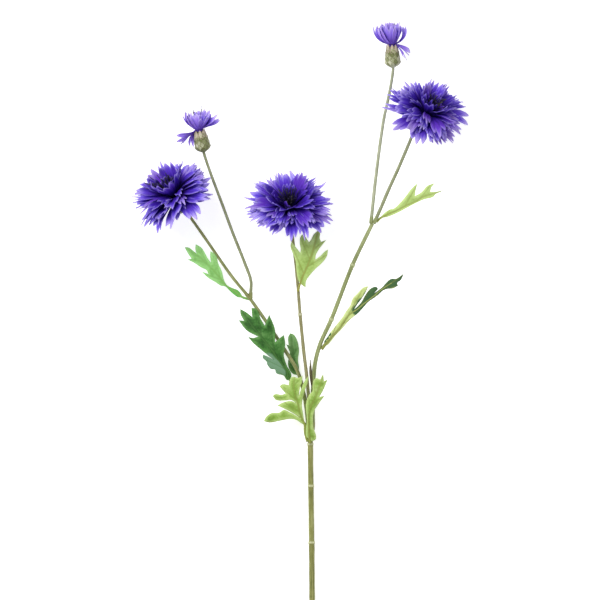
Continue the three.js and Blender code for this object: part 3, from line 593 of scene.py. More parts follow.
# root, middle and tip, and the olive of the painted highlight
stamenThread = finish("stamenThread", stamenLook, (8, 5, 20), (16, 10, 36), (34, 22, 66), (84, 80, 52))
for name, head in heads.items():
    stamenPiece(name, head)
print("stamens made")


# the scaly cups under the heads
cupSet = {
    "bloom": {"height": 11, "belly": 5.8, "bellyShare": 0.3, "round": 0.8, "neck": 4, "foot": 1.5,
              "top": -1.5, "columns": 10, "rows": 6, "tip": 0},
    "bud": {"height": 15, "belly": 5.3, "bellyShare": 0.24, "round": 0.6, "neck": 3.8, "foot": 1.5,
            "top": -0.9, "columns": 8, "rows": 7, "tip": 3.2},
    "inset": 0.35, "overlap": 1.12, "thickness": 0.3,  # the body under the scales, their width and cloth
    "lift": (0.12, 0.55, 0.16),  # of a scale off the body: at its root, more at its tip, and along its middle
}


def cupRadius(look, share):
    share = np.clip(share, 0, 1)
    widest, foot, belly = look["bellyShare"], look["foot"], look["belly"]
    low = foot + (belly - foot) * np.sin(np.clip(share / widest, 0, 1) * math.pi / 2) ** look["round"]
    high = belly + (look["neck"] - belly) * (np.clip(share - widest, 0, 1) / (1 - widest)) ** 1.3
    return np.where(share < widest, low, high)


def cupPiece(name, head):
    look = cupSet[name.split("_")[0]]
    cut = Cut()
    steps = np.linspace(0, 1, 14)
    heights = look["top"] + (steps - 1) * look["height"]
    profile = np.stack([cupRadius(look, steps) - cupSet["inset"], heights], 1)
    points, faces = lathe(profile, 24)
    cut.add(onHead(head, points), faces, (0, 0.2, 0.5))
    u = np.linspace(-1, 1, 7)[None, :]
    v = np.linspace(0, 1, 8)[:, None]
    rows, columns = look["rows"], look["columns"]
    rootLift, tipLift, middleLift = cupSet["lift"]
    for row in range(rows):
        for column in range(columns):
            key = head["seed"] + row * 17 + column
            top = row == rows - 1
            start = row / rows * 0.86 - 0.03
            length = 0.3 if not top else 0.2 + look["tip"] / look["height"]
            share = start + length * v * (1 + 0.08 * draw(key))
            narrowing = np.sqrt(np.clip(1 - v**2.2, 0, 1)) * (0.82 + 0.18 * (1 - v))
            halfTurn = math.pi / columns * cupSet["overlap"] * narrowing
            turn = (column + 0.5 * (row % 2)) / columns * 2 * math.pi + u * halfTurn + 0.03 * draw(key + 0.5)
            lift = rootLift + tipLift * v**1.5 + middleLift * (1 - u**2)
            radius = cupRadius(look, share) + lift - (0.5 if top else 0) * v**2
            z = look["top"] + (share - 1) * look["height"] + 0 * u
            grid = np.stack([radius * np.cos(turn), radius * np.sin(turn), z], -1)
            points, faces = sheet(onHead(head, grid), cupSet["thickness"])
            marks = np.stack([u + 0 * v, v + 0 * u, 0 * turn + row / (rows - 1)], -1)
            cut.add(points, faces, marks, 0.5 + 0.5 * draw(key + 0.9))
    cut.piece(camel(f"{name}_cup"), "calyx", cupScales, f"{name}_calyx")


def cupLook(field, green, body, pale, brown, paper):
    across, along, row = field.marks()
    tone = field.extra()
    mottle = field.noise(field.place(), 900.0, 3.0)
    colour = (tone * 0.5 + mottle * 0.5).ramp((0.24, green), (0.5, body), (0.72, pale))
    rim = (abs(across) * 0.6 + along).between(0.82, 1.25)
    colour = colour.mix(brown, rim * 0.6)
    papery = (along * 0.5 + row + mottle * 1.2).between(1.62, 2.05)
    colour = colour.mix(paper, papery * 0.85)
    return colour, 0.55 + mottle * 0.15, mottle, 0.15


# two greens, the pale one, the brown rims and the papery tips
cupTints = ((104, 112, 60), (140, 148, 100), (200, 202, 170), (88, 76, 44), (196, 176, 158))
cupScales = finish("cupScales", cupLook, *cupTints)
for name, head in heads.items():
    cupPiece(name, head)
print("cups made")


stemSet = {
    "stem_main": {
        "slot": "main_stem", "sleeve": "main", "radii": (2.2, 2.05), "joints": (132.8, 175.5, 207),
        "path": [(9.4, -261.4, 2.05), (8.6, -200, 2.05), (8, -130, 3.2), (7.4, -85, 5), (7, -51, 6.6),
                 (7, -38, 7.2)]},
    "branch_left": {
        "slot": "branch", "sleeve": "left", "radii": (1.5, 1.25),
        "path": [(5.2, -38.3, 6.2), (2.4, -18, 6.6), (-2.6, 0, 7.6), (-12.4, 16.4, 9.4), (-27.4, 39.2, 11.6),
                 (-38.2, 54.6, 12.6)]},
    "branch_mid": {
        "slot": "branch", "sleeve": "mid", "radii": (1.35, 1.1), "joints": (81.5,), "head": "bloom_mid",
        "path": [(7, -38.3, 9.4), (5.6, -18, 10.6), (4.3, -3.4, 10.6), (2.2, 14, 9.6), (-0.75, 43.6, 9.6),
                 (-2.3, 63, 10.8), (-5, 90, 13.2)]},
    "branch_right": {
        "slot": "branch", "sleeve": "right", "radii": (1.65, 1.45), "joints": (80, 124),
        "path": [(8.9, -38.3, 6.2), (9, -14, 6.4), (10.6, 6, 7.8), (14.6, 21, 8.8), (22.6, 38.6, 10),
                 (39, 80.6, 12.4), (53.6, 111, 13.6)]},
    "stem_bloom_left": {
        "slot": "thin_stem", "sleeve": "left", "radii": (1.2, 1.1), "head": "bloom_left",
        "path": [(-40.6, 57.6, 12.8), (-51.6, 70.9, 13.2), (-73.6, 102.4, 13.8)]},
    "stem_bud_left": {
        "slot": "thin_stem", "sleeve": "thin", "radii": (1.2, 1.05), "head": "bud_left",
        "path": [(-37.7, 58.7, 13), (-37.6, 68, 13.8), (-42.4, 81.8, 15), (-51, 103.5, 17),
                 (-59.7, 127.1, 19), (-67.7, 148.4, 20.6)]},
    "stem_bloom_right": {
        "slot": "thin_stem", "sleeve": "thin", "radii": (1.3, 1.2), "head": "bloom_right",
        "path": [(56.4, 114.8, 13.7), (59.8, 122.4, 13.8), (66, 136.9, 14), (73.4, 153.1, 14.2),
                 (80, 168.6, 14.6)]},
    "stem_bud_right": {
        "slot": "thin_stem", "sleeve": "pale", "radii": (1.3, 1.1), "head": "bud_right",
        "path": [(52.9, 115.3, 13.8), (54, 126, 13.4), (56.2, 146, 11.6), (58.6, 164.9, 9.6), (62.3, 190, 10),
                 (66.4, 209.1, 15)]},
}
forks = {
    "branch_left": ("stem_bloom_left", "stem_bud_left"),
    "branch_right": ("stem_bloom_right", "stem_bud_right"),
}
jointSet = {
    "lip": 0.35, "swell": 0.1,  # how far a sleeve's end stands out at a joint, and how it widens before that
    "mouthRadius": 3.7, "mouthLength": 15,  # the top of the main stem, which holds the branches
    "socketRadius": 1.45, "socketLength": 4.2,  # the short cups that hold the stems above a fork
}
shootSet = {"path": [(8.8, -12, 6.8), (7.4, -3, 8.2), (7, 8.6, 9)], "radius": 1.05, "taper": 0.72, "tip": 9}
cupDepth = {"bloom": 12.8, "bud": 16.2}  # from a head's heart back to where its stem ends
stemSides = 16


def stemMarks(steps, turn, sides, joints):
    along = np.repeat(steps, sides)
    ring = sum((np.exp(-((along - joint) / 0.9) ** 2) for joint in joints), along * 0)
    return np.stack([along, np.cos(turn), np.sin(turn)], 1), ring


def stemPiece(name):
    look = stemSet[name]
    joints = look.get("joints", ())
    cut = Cut()
    path = list(look["path"])
    if "head" in look:
        head = heads[look["head"]]
        depth = cupDepth[look["head"].split("_")[0]]
        path += [tuple(np.array(head["heart"]) - axisOf(head) * back) for back in (depth + 2, depth)]
    run, steps = smoothPath(path, 0.55 if joints else 1.0)  # finer where there are lips to shape
    first, last = look["radii"]
    radii = first + (last - first) * (steps / steps[-1])
    radii = radii * (1 + 0.02 * np.sin(steps * 0.35 + 1) + 0.012 * np.sin(steps * 1.1))
    for joint in joints:  # the sleeve before a joint ends in a lip
        lip = ease(steps, joint - 1.3, joint - 0.8) * (1 - ease(steps, joint + 0.8, joint + 1.1))
        swell = ease(steps, joint - 12, joint - 1) * (1 - ease(steps, joint - 0.2, joint + 0.2))
        radii = radii + jointSet["lip"] * lip
        radii = radii + jointSet["swell"] * swell
    if name == "stem_main":
        flare = ease(steps, steps[-1] - jointSet["mouthLength"], steps[-1] - 1)
        radii = radii + (jointSet["mouthRadius"] - last) * flare
    radii[0] *= 0.93
    radii[-1] *= 0.9
    points, faces, turn = tube(run, radii, stemSides)
    marks, ring = stemMarks(steps, turn, stemSides, joints)
    cut.add(points, faces, marks, ring)
    for above in forks.get(name, ()):
        root, after = (np.array(p) for p in stemSet[above]["path"][:2])
        back = np.linspace(-0.3 - jointSet["socketLength"], 0.7, 12)
        widening = 0.86 + 0.14 * ease(back, back[0], back[0] + 1.5)
        radii = jointSet["socketRadius"] * widening - 0.08 * ease(back, 0.2, 0.7)
        points, faces, turn = tube(root + unit(after - root) * back[:, None], radii, stemSides)
        marks, ring = stemMarks(back, turn, stemSides, (0.5,))
        cut.add(points, faces, marks, ring * 0.3)
    if name == "branch_right":  # a short leafless shoot beside it
        run, steps = smoothPath(shootSet["path"], 0.8)
        taper = shootSet["taper"] * ease(steps, steps[-1] - shootSet["tip"], steps[-1])
        radii = shootSet["radius"] * (1 - taper)
        points, faces, turn = tube(run, radii, 10)
        marks, ring = stemMarks(steps, turn, 10, ())
        cut.add(points, faces, marks, ring - 0.8)
    cut.piece(camel(name), look["slot"], sleeves[look["sleeve"]], name)


def sleeveLook(field, dark, body, light, ringColour):
    along, c, s = field.marks()
    ring = field.extra()
    streak = field.noise(field.vector(along * 0.02, c * 1.3, s * 1.3), 2.2, 3.0, 0.6)
    mottle = field.noise(field.place(), 160.0, 3.0)
    colour = (streak * 0.75 + mottle * 0.25).ramp((0.37, dark), (0.5, body), (0.63, light))
    colour = colour.mix(ringColour, ring.between(0.1, 0.9) * 0.8)
    colour = colour.mix(tint(88, 78, 46), (0 - ring).between(0.1, 0.8))
    return colour, 0.42 + mottle * 0.18, streak + mottle * 0.5, 0.12


sleeveTints = {  # in its dark streaks, between, in its light ones, and at a joint
    "main": ((102, 104, 46), (136, 138, 70), (166, 168, 108), (206, 208, 164)),
    "left": ((104, 110, 56), (136, 142, 84), (168, 172, 118), (198, 202, 156)),
    "mid": ((116, 108, 64), (142, 138, 92), (162, 158, 116), (206, 206, 170)),
    "right": ((110, 120, 64), (144, 154, 96), (176, 184, 132), (192, 198, 150)),
    "thin": ((116, 122, 80), (142, 148, 108), (168, 174, 138), (196, 200, 160)),
    "pale": ((140, 146, 112), (168, 174, 140), (192, 196, 168), (206, 210, 180)),
}
sleeves = {key: finish(f"{key}Sleeve", sleeveLook, *tints) for key, tints in sleeveTints.items()}
for name in stemSet:
    stemPiece(name)
print("stems made")


# the rib with its heights, the stalk, the cut edge of each half from root to tip, and the spots that turned
leaves = {
    "leaf_fork_left": {
        "slot": "mid_leaf", "cloth": "fork", "slope": (0.12, 0.12),
        "turned": [(-52, 60, 7)],
        "rib": [(-44.4, 55.9, 10.4), (-49, 59.5, 11), (-53.2, 62.4, 11.6), (-56.2, 64.7, 12.2),
            (-60.8, 70.2, 13.2), (-66.2, 76.4, 14), (-71.5, 81.7, 14.4), (-77.3, 86.7, 14),
            (-82.6, 90.5, 13), (-87.4, 93.2, 11.4)],
        "stalk": [(-37.9, 54.1, 9.6), (-40.9, 54.7, 10)],
        "left": [(-46.7, 55.5), (-50.5, 57.8), (-53.9, 60.9), (-56.8, 63.7), (-60.1, 64.4), (-63.9, 66.8),
            (-69.6, 70.2), (-74.6, 75), (-69.6, 73.1), (-70.8, 76), (-74.6, 77.9), (-79.2, 80.9),
            (-84.9, 84), (-82.1, 84.6), (-84.6, 88.2)],
        "right": [(-44.8, 57.8), (-47.4, 60.9), (-52, 62.8), (-55.5, 64.7), (-57.8, 68.7), (-59.3, 74.8),
            (-62, 80.9), (-63.9, 87.1), (-67.9, 90.5), (-68.1, 86.3), (-67.5, 81.7), (-69.6, 84.4),
            (-71.9, 88.6), (-74.6, 92.8), (-79, 95.5), (-79.2, 91.3), (-78.5, 88.6), (-81.3, 90.9),
            (-84.2, 93)],
    },
    "leaf_dark_left": {
        "slot": "dark_leaf", "cloth": "dark", "slope": (-0.06, -0.1),
        "turned": [(-25, 9, 5), (-20, 4, 5.5), (-16, -1, 4.5)],
        "rib": [(-8.6, -6.3, 11.6), (-10.9, 0.6, 13.6), (-17.7, 9.6, 16), (-22.2, 16.5, 17),
            (-29, 24.6, 17.6), (-34.5, 31.5, 17.4), (-40.4, 39.2, 16.4), (-45.6, 46.9, 14.6)],
        "stalk": [(-1.5, -10.8, 8.7)],
        "left": [(-10.4, -6.5), (-13.1, -3.1), (-18.6, -1.3), (-19.7, 1.5), (-22.2, 1.7), (-25, 4.6),
            (-25.9, 7.4), (-28.8, 10.6), (-28.4, 12.6), (-24, 10.8), (-20, 8.6), (-24, 11.5), (-29, 15.6),
            (-35.9, 21.5), (-39.7, 26), (-35.9, 25.1), (-32, 26.2), (-40.4, 30.6), (-46.8, 38.3),
            (-42.7, 38.1), (-45.2, 42.8)],
        "right": [(-7.2, -3.1), (-10.9, 5.1), (-12.9, 11.9), (-11.8, 21), (-12.9, 27.4), (-16.8, 24.2),
            (-19.5, 21.9), (-19.7, 31.9), (-23.8, 42.6), (-25.9, 37.8), (-27.2, 34.4), (-30, 39.2),
            (-33.6, 46.9), (-37.2, 47.6), (-36.5, 40.6), (-40.9, 44.2)],
    },
    "leaf_dark_small": {
        "slot": "dark_leaf", "cloth": "small", "slope": (0.02, 0.02),
        "rib": [(-1.8, -3.1, 3.2), (-5, 5.1, 3.6), (-6.3, 14.2, 3.8), (-7.2, 21, 3.6), (-8.1, 28.5, 2.8)],
        "stalk": [(0.1, -9.7, 4.2)],
        "left": [(-6.3, -1.7), (-9.5, 3.7), (-9.3, 10.1), (-8.4, 14.2), (-9.5, 16.9), (-11.1, 20.3),
            (-9.3, 19.6), (-9.6, 25.6)],
        "right": [(-1.5, 2.8), (-2.2, 8.3), (-1.5, 16.9), (-4, 25.6), (-5.9, 27.8)],
    },
    "leaf_mid": {
        "slot": "light_leaf", "cloth": "mid", "slope": (0.1, 0.06),
        "rib": [(-0.7, 65.9, 14.2), (1.1, 71.1, 16.2), (3.3, 75.8, 17.6), (5.6, 81.2, 18.8),
            (7.9, 86.9, 19.4), (10.1, 94.8, 19.4), (13.1, 106.1, 17.6)],
        "stalk": [(-2.3, 60, 13.2)],
        "left": [(-2.3, 69.3), (-3.4, 75.8), (-4.1, 83), (-6.1, 88.3), (-7.9, 94.1), (-7.1, 97.5),
            (-3.2, 92.3), (-0.5, 88.9), (-0.3, 91.9), (-1, 96.6), (-0.3, 101.3), (1.8, 103.1), (3.6, 100.5),
            (6, 97), (7.6, 99.1), (9.4, 102.7)],
        "right": [(3.3, 63), (4, 68.2), (7.2, 72.9), (10.8, 76.9), (15.8, 81.5), (19.4, 86.5), (20.3, 91.6),
            (17.6, 89.8), (14.8, 86.9), (10.8, 84), (11, 86.9), (13, 90.9), (16.5, 95.5), (18.9, 98.6),
            (15.1, 97.2), (14, 99.8), (14.3, 104.5)],
    },
    "leaf_fork_right": {
        "slot": "light_leaf", "cloth": "right", "slope": (0.14, 0.1),
        "rib": [(59.6, 115.1, 12.6), (66, 118.3, 14), (72.7, 121.2, 15.4), (79.4, 124.6, 16.4),
            (86.2, 127.7, 16.8), (92, 131.1, 16.4), (98.4, 133.2, 15.4), (107.2, 136.2, 13.8)],
        "stalk": [(56.8, 112.3, 11)],
        "left": [(61.7, 118.1), (66.8, 121.6), (69.7, 122.3), (74.4, 126.5), (78.6, 131.5), (82.8, 137),
            (87.4, 141.2), (86.2, 137), (85.3, 131.5), (90.4, 134.5), (94.6, 139.1), (100.5, 141.4),
            (97.9, 138.3), (96.8, 134.8), (101.7, 134.9)],
        "right": [(64.7, 116), (72.7, 119.2), (78.6, 122.3), (85.7, 126.1), (92, 129), (99.4, 131.2),
            (100.9, 133), (104.7, 134.8)],
    },
    "leaf_twist_right": {
        "slot": "light_leaf", "cloth": "twist", "slope": (0.4, -0.25),
        "turned": [(17.6, 22.6, 1.5), (19.4, 25.3, 1.5), (21.2, 28, 1.5), (42, 46, 4), (46, 51, 4.5),
            (51, 56.5, 4.5), (57, 62, 5), (64, 66, 5), (71, 69, 6), (77, 73, 5)],
        "ribRadii": (1.35, 0.35),
        "rib": [(17.6, 19.6, 8.6), (20.4, 23, 9.4), (23.3, 26.4, 10.2), (28.9, 32.4, 12),
            (32.4, 37.7, 13.2), (36.4, 42.9, 14.4), (41.9, 46.4, 15.6), (47.9, 51.5, 16.6), (54, 56.2, 17),
            (61.5, 62.3, 16.8), (68, 66.5, 16), (77.1, 73.3, 14)],
        "stalk": [(15.4, 16.6, 8.2)],
        "left": [(17.4, 22.2), (19.8, 25.8), (22.2, 29.4), (26.2, 34.4), (30.9, 40.4), (33.9, 45.2),
            (36.9, 49.5), (38.9, 55), (41.9, 58), (46.9, 63), (50.5, 64.1), (47.9, 58.5), (44.9, 54),
            (41.9, 50), (39.7, 46.2), (44.9, 51.5), (48.4, 57.5), (52, 62), (56.5, 63.5), (57.7, 62),
            (54.5, 58.3), (61.3, 63.5), (63.5, 66), (67, 69.1), (69.5, 69.6), (70.2, 69.3)],
        "right": [(19.4, 19.6), (22.8, 23), (25.8, 26.9), (29.9, 31.1), (32.9, 34.6), (36.9, 38.9),
            (42.9, 43.9), (46.9, 48.2), (50.5, 52.2), (57, 56.7), (62, 61), (65, 62), (69, 62.3),
            (72.8, 64.4), (72.1, 66.3), (74.8, 68.6)],
    },
    "leaf_whorl_left": {
        "slot": "light_leaf", "cloth": "whorl", "slope": (-0.14, 0.1),
        "rib": [(2.9, -40.2, 12), (0.9, -35.9, 13.4), (-0.8, -30.9, 15), (-2.3, -24.3, 16.2),
            (-4.4, -17.8, 17), (-5.6, -11.3, 17.2), (-4.9, -4.1, 16.4)],
        "stalk": [(5.4, -52.4, 7.4), (3.4, -46, 9.4)],
        "ribRadii": (1.7, 0.35),
        "left": [(0.2, -38.9), (-3.4, -36.4), (-7.4, -35.6), (-15.4, -36.9), (-23.4, -38.4), (-28, -37.4),
            (-26, -33.9), (-22.4, -31.4), (-16.4, -30.9), (-12.9, -28.9), (-8.4, -30.6), (-0.7, -34.9),
            (-3.9, -32.6), (-11.4, -28.4), (-17.9, -25.6), (-13.4, -23.3), (-7.4, -22.3), (-3.5, -23.8),
            (-7.4, -21.4), (-11.9, -21.8), (-18.9, -21.3), (-21.2, -18.3), (-19.4, -17), (-14.4, -17.5),
            (-11.5, -16.5), (-15.9, -11.3), (-14.4, -9.8), (-9.1, -10.3), (-8.6, -6.7), (-6.9, -4.2)],
        "right": [(1.8, -33.4), (0.7, -24.3), (2.4, -15.8), (4.9, -8.3), (5.7, -3.2), (2.7, -7.3),
            (0.2, -13.3), (-1.7, -18.8), (-0.8, -12.3), (0.7, -7.3), (1.1, -3.3), (-2.1, -4.8)],
    },
    "leaf_whorl_right": {
        "slot": "light_leaf", "cloth": "whorl", "slope": (-0.1, -0.1),
        "rib": [(6.4, -50.5, 10.6), (5.9, -42.4, 12.2), (5.9, -32.4, 14.6), (8.2, -24.3, 16),
            (10.7, -19.3, 17), (13.7, -11.3, 17.6), (16.7, -2.2, 16.4)],
        "stalk": [(6.8, -54, 10.2)],
        "left": [(4.4, -49.4), (3.8, -42.4), (4.4, -36.4), (3.7, -28.4), (3.8, -23.8), (6.2, -17.5),
            (8.5, -14.8), (8.8, -8.8), (11.1, -5.2), (14.5, -6.1), (15.7, -3.5)],
        "right": [(8.2, -52.5), (11, -51), (9.2, -41.4), (9.7, -30.4), (13.2, -24.3), (17.7, -18.3),
            (13.7, -19.1), (16.7, -13.8), (20, -6), (17.2, -7.3)],
    },
}
leafSet = {
    "spacing": 0.6, "thickness": 0.4, "wave": 0.45, "bulge": 0.26, "ribRadii": (0.95, 0.35),
    "lobe": 2.5,  # how far an edge has to stand off the rib to get a vein
    "hem": 3,  # how wide the lighter rim is: partly the print's paler edge, partly painted light
    "veinWidth": 0.42, "veinDepth": 0.8, "ribWidth": 0.75,
}


def cutEdge(points, spacing):  # curves through the points of a cut edge, sharp where it turns hard
    points = np.array(points, float)
    steps = np.diff(points, axis=0)
    lengths = np.linalg.norm(steps, axis=1, keepdims=True)
    heading = steps / lengths
    run = []
    for i in range(len(steps)):
        ends = []
        for joint, other in ((i, i - 1), (i + 1, i + 1)):
            soft = 0 <= other < len(steps) and heading[i] @ heading[other] > 0.25
            ends.append(unit(heading[i] + heading[other]) if soft else heading[i])
        count = max(2, round(float(lengths[i, 0]) / spacing))
        t = (np.arange(count) / count)[:, None]
        run.append(curve(points[i], points[i + 1], ends[0] * lengths[i], ends[1] * lengths[i], t))
    return np.vstack([*run, points[-1:]])


def distanceTo(points, line):  # how far each point is from a line, and how far along it the nearest place is
    a, b = line[:-1], line[1:]
    ab = b - a
    share = ((points[:, None] - a) * ab).sum(-1) / np.maximum((ab * ab).sum(-1), 1e-9)
    share = np.clip(share, 0, 1)
    gap = np.linalg.norm(points[:, None] - (a + share[..., None] * ab), axis=-1)
    best = gap.argmin(1)
    rows = np.arange(len(points))
    return gap[rows, best], (best + share[rows, best]) / len(ab)


def within(points, loop):  # which points lie inside a closed outline
    a, b = loop, np.roll(loop, -1, axis=0)
    x, y = points[:, :1], points[:, 1:]
    crosses = (a[:, 1] > y) != (b[:, 1] > y)
    rise = np.where(b[:, 1] == a[:, 1], 1e-9, b[:, 1] - a[:, 1])
    return ((x < a[:, 0] + (y - a[:, 1]) * (b[:, 0] - a[:, 0]) / rise) & crosses).sum(1) % 2 == 1


def sideVeins(edge, rib):  # a vein from the rib to the point of each lobe
    gap, along = distanceTo(edge, rib)
    veins = []
    for i in range(1, len(edge) - 1):
        low, high = max(0, i - 7), min(len(edge), i + 8)
        if gap[i] > leafSet["lobe"] and gap[i] >= gap[low:high].max():
            start = max(0.02, along[i] - 0.045 * gap[i] ** 0.8)
            k = start * (len(rib) - 1)
            root = rib[int(k)] + (rib[min(int(k) + 1, len(rib) - 1)] - rib[int(k)]) * (k % 1)
            t = np.linspace(0, 1, 9)[:, None]
            ahead = rib[min(int(k) + 3, len(rib) - 1)]
            bow = (root + edge[i]) / 2 + 0.25 * (ahead - root)
            veins.append((1 - t) ** 2 * root + 2 * t * (1 - t) * bow + t**2 * edge[i])
    return veins


def fillLoop(loop, spacing):  # an outline filled with even triangles
    low, high = loop.min(0), loop.max(0)
    xs, ys = np.meshgrid(np.arange(low[0], high[0], spacing), np.arange(low[1], high[1], spacing * 0.87))
    xs[1::2] += spacing / 2
    inside = np.stack([xs.ravel(), ys.ravel()], 1)
    clear, _ = distanceTo(inside, np.vstack([loop, loop[:1]]))
    inside = inside[(clear > spacing * 0.45) & within(inside, loop)]
    edges = [(i, (i + 1) % len(loop)) for i in range(len(loop))]
    points = [Vector(p) for p in np.vstack([loop, inside])]
    found, _, triangles, _, _, _ = delaunay_2d_cdt(points, edges, [], 0, 1e-5, True)
    flat, triangles = np.array([tuple(p) for p in found]), np.array(triangles)
    return flat, triangles[within(flat[triangles].mean(1), loop)]


def halfLeaf(leaf, side, rib):  # one side of a leaf: points, their marks, how far each has turned, and faces
    edgePoints = leaf["right" if side else "left"]
    edge = cutEdge([leaf["rib"][0][:2], *edgePoints, leaf["rib"][-1][:2]], leafSet["spacing"])
    flatRib = rib[:, :2]
    flat, triangles = fillLoop(np.vstack([flatRib, edge[-2:0:-1]]), leafSet["spacing"])
    gap, along = distanceTo(flat, flatRib)
    k = along * (len(rib) - 1)
    below = np.floor(k).astype(int)
    low, high = rib[below, 2], rib[np.minimum(below + 1, len(rib) - 1), 2]
    z = low + (high - low) * (k % 1) + leaf["slope"][side] * gap
    near = np.min([distanceTo(flat, vein)[0] for vein in sideVeins(edge, flatRib)] + [gap * 0 + 9], axis=0)
    toEdge, _ = distanceTo(flat, edge)
    bulge = np.clip(np.minimum(near, gap), 0, 2.2) * leafSet["bulge"]
    z = z + bulge * ease(toEdge, 0, 1.6) + leafSet["wave"] * np.sin(along * 17 + side * 2) * ease(gap, 1, 8)
    vein = np.maximum(np.exp(-((near / leafSet["veinWidth"]) ** 2)) * leafSet["veinDepth"],
                      np.exp(-((gap / leafSet["ribWidth"]) ** 2)))
    turned = sum(np.exp(-(((flat - np.array(spot[:2])) / spot[2]) ** 2).sum(1) ** 2)
                 for spot in leaf.get("turned", ())) + flat[:, 0] * 0
    marks = np.column_stack([np.minimum(toEdge / leafSet["hem"], 1), along, vein])
    return np.column_stack([flat, z]), marks, turned, triangles


def thicken(corners, faces, thickness):  # a closed cloth from triangles, all turned to face up first
    upward = []
    for a, b, c in faces:
        ab, ac = corners[b] - corners[a], corners[c] - corners[a]
        turn = ab[0] * ac[1] - ab[1] * ac[0]
        if abs(turn) > 1e-7:
            upward.append((a, b, c) if turn > 0 else (c, b, a))
    normals = np.zeros_like(corners)
    for face in upward:
        a, b, c = corners[list(face)]
        normals[list(face)] += np.cross(b - a, c - a)
    normals = unit(normals)
    count = len(corners)
    sides = {(face[i], face[(i + 1) % 3]) for face in upward for i in range(3)}
    walls = [(b, a, a + count, b + count) for a, b in sides if (b, a) not in sides]
    under = [(c + count, b + count, a + count) for a, b, c in upward]
    both = np.concatenate([corners + normals * thickness / 2, corners - normals * thickness / 2])
    return both, upward + under + walls


def leafPiece(name):
    leaf = leaves[name]
    cut = Cut()
    rib, _ = smoothPath(leaf["rib"], 1.0)
    corners, lookup, faces, marks, extras = [], {}, [], [], []
    for side in (0, 1):  # the two sides share the points of the rib
        points, pointMarks, turned, triangles = halfLeaf(leaf, side, rib)
        index = []
        for point, mark, extra in zip(points, pointMarks, turned):
            key = (round(point[0], 3), round(point[1], 3))
            if key not in lookup:
                lookup[key] = len(corners)
                corners.append(point)
                marks.append(mark)
                extras.append(extra)
            index.append(lookup[key])
        faces += [tuple(index[i] for i in face) for face in triangles]
    points, faces = thicken(np.array(corners), faces, leafSet["thickness"])
    cut.add(points, faces, marks, extras)
    stalk, steps = smoothPath([*leaf["stalk"], *leaf["rib"][:-1]], 0.9)
    share = steps / steps[-1]
    thick, thin = leaf.get("ribRadii", leafSet["ribRadii"])
    points, faces, _ = tube(stalk, thin + (thick - thin) * (1 - share) ** 2.2, 10)
    ribMarks = np.stack([share * 0 + 1, share, share * 0 + 1], 1)
    cut.add(points, faces, np.repeat(ribMarks, 10, axis=0))
    cut.piece(camel(name), leaf["slot"], leafCloth[leaf["cloth"]], name)


def leafLook(field, shade, body, light, veinColour, turnedColour):
    inward, along, vein = field.marks()
    turned = field.extra()
    mottle = field.noise(field.place(), 130.0, 3.0, 0.6)
    fine = field.noise(field.place(), 700.0, 3.0)
    colour = (mottle * 0.7 + fine * 0.3).ramp((0.3, shade), (0.5, body), (0.7, light))
    # painted shade: darker in the lower half, beside the veins and inside the rim, as in the folds
    paintedShade = (1 - along).between(0.5, 1) * 0.3
    paintedShade = paintedShade + vein.between(0.01, 0.3) * 0.3 + inward.between(0.4, 1) * 0.2
    colour = colour.mix(shade, paintedShade)
    # lighter towards the rim: partly the print's paler edge, partly painted light
    colour = colour.mix(light, (1 - inward).between(0.2, 1) * 0.65)
    colour = colour.mix(turnedColour, turned.between(0.1, 0.7))
    colour = colour.mix(veinColour, vein.between(0.3, 0.85) * (0.9 - along * 0.55))
    return colour, 0.5 + fine * 0.2, fine * 0.4 + vein * 0.8, 0.3


leafTints = {  # in the hollows as painted shade and in the dark of the mottle, on the blade, the lighter one, which the rim takes partly as paler print and partly as painted light, on the veins, and where it has turned
    "fork": ((120, 178, 92), (146, 204, 116), (166, 222, 142), (132, 180, 92), (110, 180, 84)),
    "dark": ((24, 60, 18), (66, 122, 50), (106, 158, 84), (80, 126, 60), (116, 154, 120)),
    "small": ((44, 88, 32), (94, 144, 76), (136, 176, 112), (92, 134, 70), (136, 170, 142)),
    "mid": ((138, 168, 76), (178, 208, 114), (206, 232, 150), (160, 154, 78), (134, 166, 74)),
    "right": ((156, 184, 96), (188, 214, 128), (210, 234, 150), (156, 164, 84), (150, 170, 110)),
    "twist": ((168, 186, 92), (204, 224, 136), (228, 240, 172), (136, 140, 72), (72, 108, 64)),
    "whorl": ((110, 146, 50), (154, 190, 88), (198, 220, 142), (146, 152, 74), (206, 220, 168)),
}
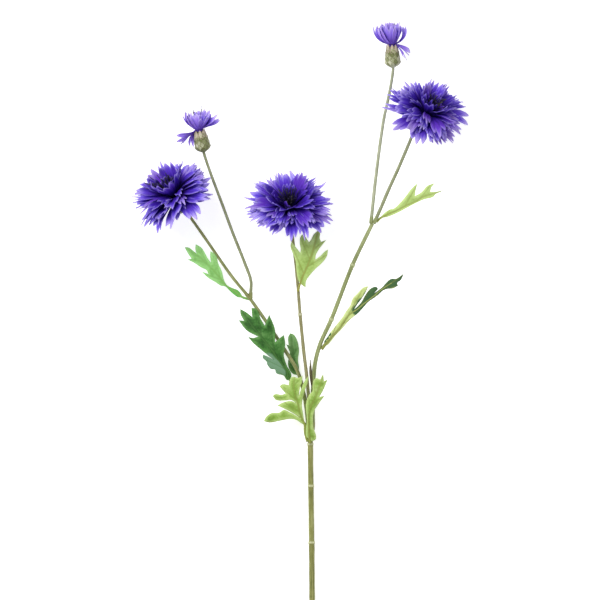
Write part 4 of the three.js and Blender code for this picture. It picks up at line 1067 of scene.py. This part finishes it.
leafCloth = {key: finish(f"{key}LeafCloth", leafLook, *tints, Specular_IOR_Level=0.2)
             for key, tints in leafTints.items()}
for name in leaves:
    leafPiece(name)
print("leaves made")


studio = {
    "floor": 0.82, "glow": 0.6, "halfSize": 20, "below": 0.0002, "world": 0.5, "aim": (0, 0.05, 0),
    "key": {"place": (-0.9, 0.9, 1.6), "size": 1.0, "power": 28},
    "fill": {"place": (1.3, -0.7, 1.5), "size": 1.6, "power": 6},
    "distance": 6.25, "lens": 500, "centre": (-0.00075, 0.0536, 0.018),
}

floorMesh = bpy.data.meshes.new("floor")
half = studio["halfSize"]
corners = [(x * half, y * half, -studio["below"]) for x, y in ((-1, -1), (1, -1), (1, 1), (-1, 1))]
floorMesh.from_pydata(corners, [], [(0, 1, 2, 3)])
floor = addObject("floor", floorMesh)
paper = bpy.data.materials.new("paper")
paper.use_nodes = True
surface = paper.node_tree.nodes["Principled BSDF"]
surface.inputs["Base Color"].default_value = (studio["floor"],) * 3 + (1,)
surface.inputs["Roughness"].default_value = 0.9
surface.inputs["Emission Color"].default_value = (1, 1, 1, 1)
surface.inputs["Emission Strength"].default_value = studio["glow"]
floorMesh.materials.append(paper)

world = bpy.data.worlds.new("studio")
world.use_nodes = True
world.node_tree.nodes["Background"].inputs["Color"].default_value = (1, 1, 1, 1)
world.node_tree.nodes["Background"].inputs["Strength"].default_value = studio["world"]
bpy.context.scene.world = world

for name in ("key", "fill"):
    look = studio[name]
    lamp = bpy.data.lights.new(name, "AREA")
    lamp.size, lamp.energy = look["size"], look["power"]
    light = addObject(name, lamp)
    light.location = look["place"]
    towards = Vector(studio["aim"]) - Vector(look["place"])
    light.rotation_euler = towards.to_track_quat("-Z", "Y").to_euler()

lens = bpy.data.cameras.new("camera")
lens.lens, lens.sensor_width = studio["lens"], 36
lens.clip_start, lens.clip_end = 0.1, 60
camera = addObject("camera", lens)
camera.location = Vector(studio["centre"]) + Vector((0, 0, studio["distance"]))
bpy.context.scene.camera = camera
bpy.context.scene.view_settings.view_transform = "Standard"
print("studio set")
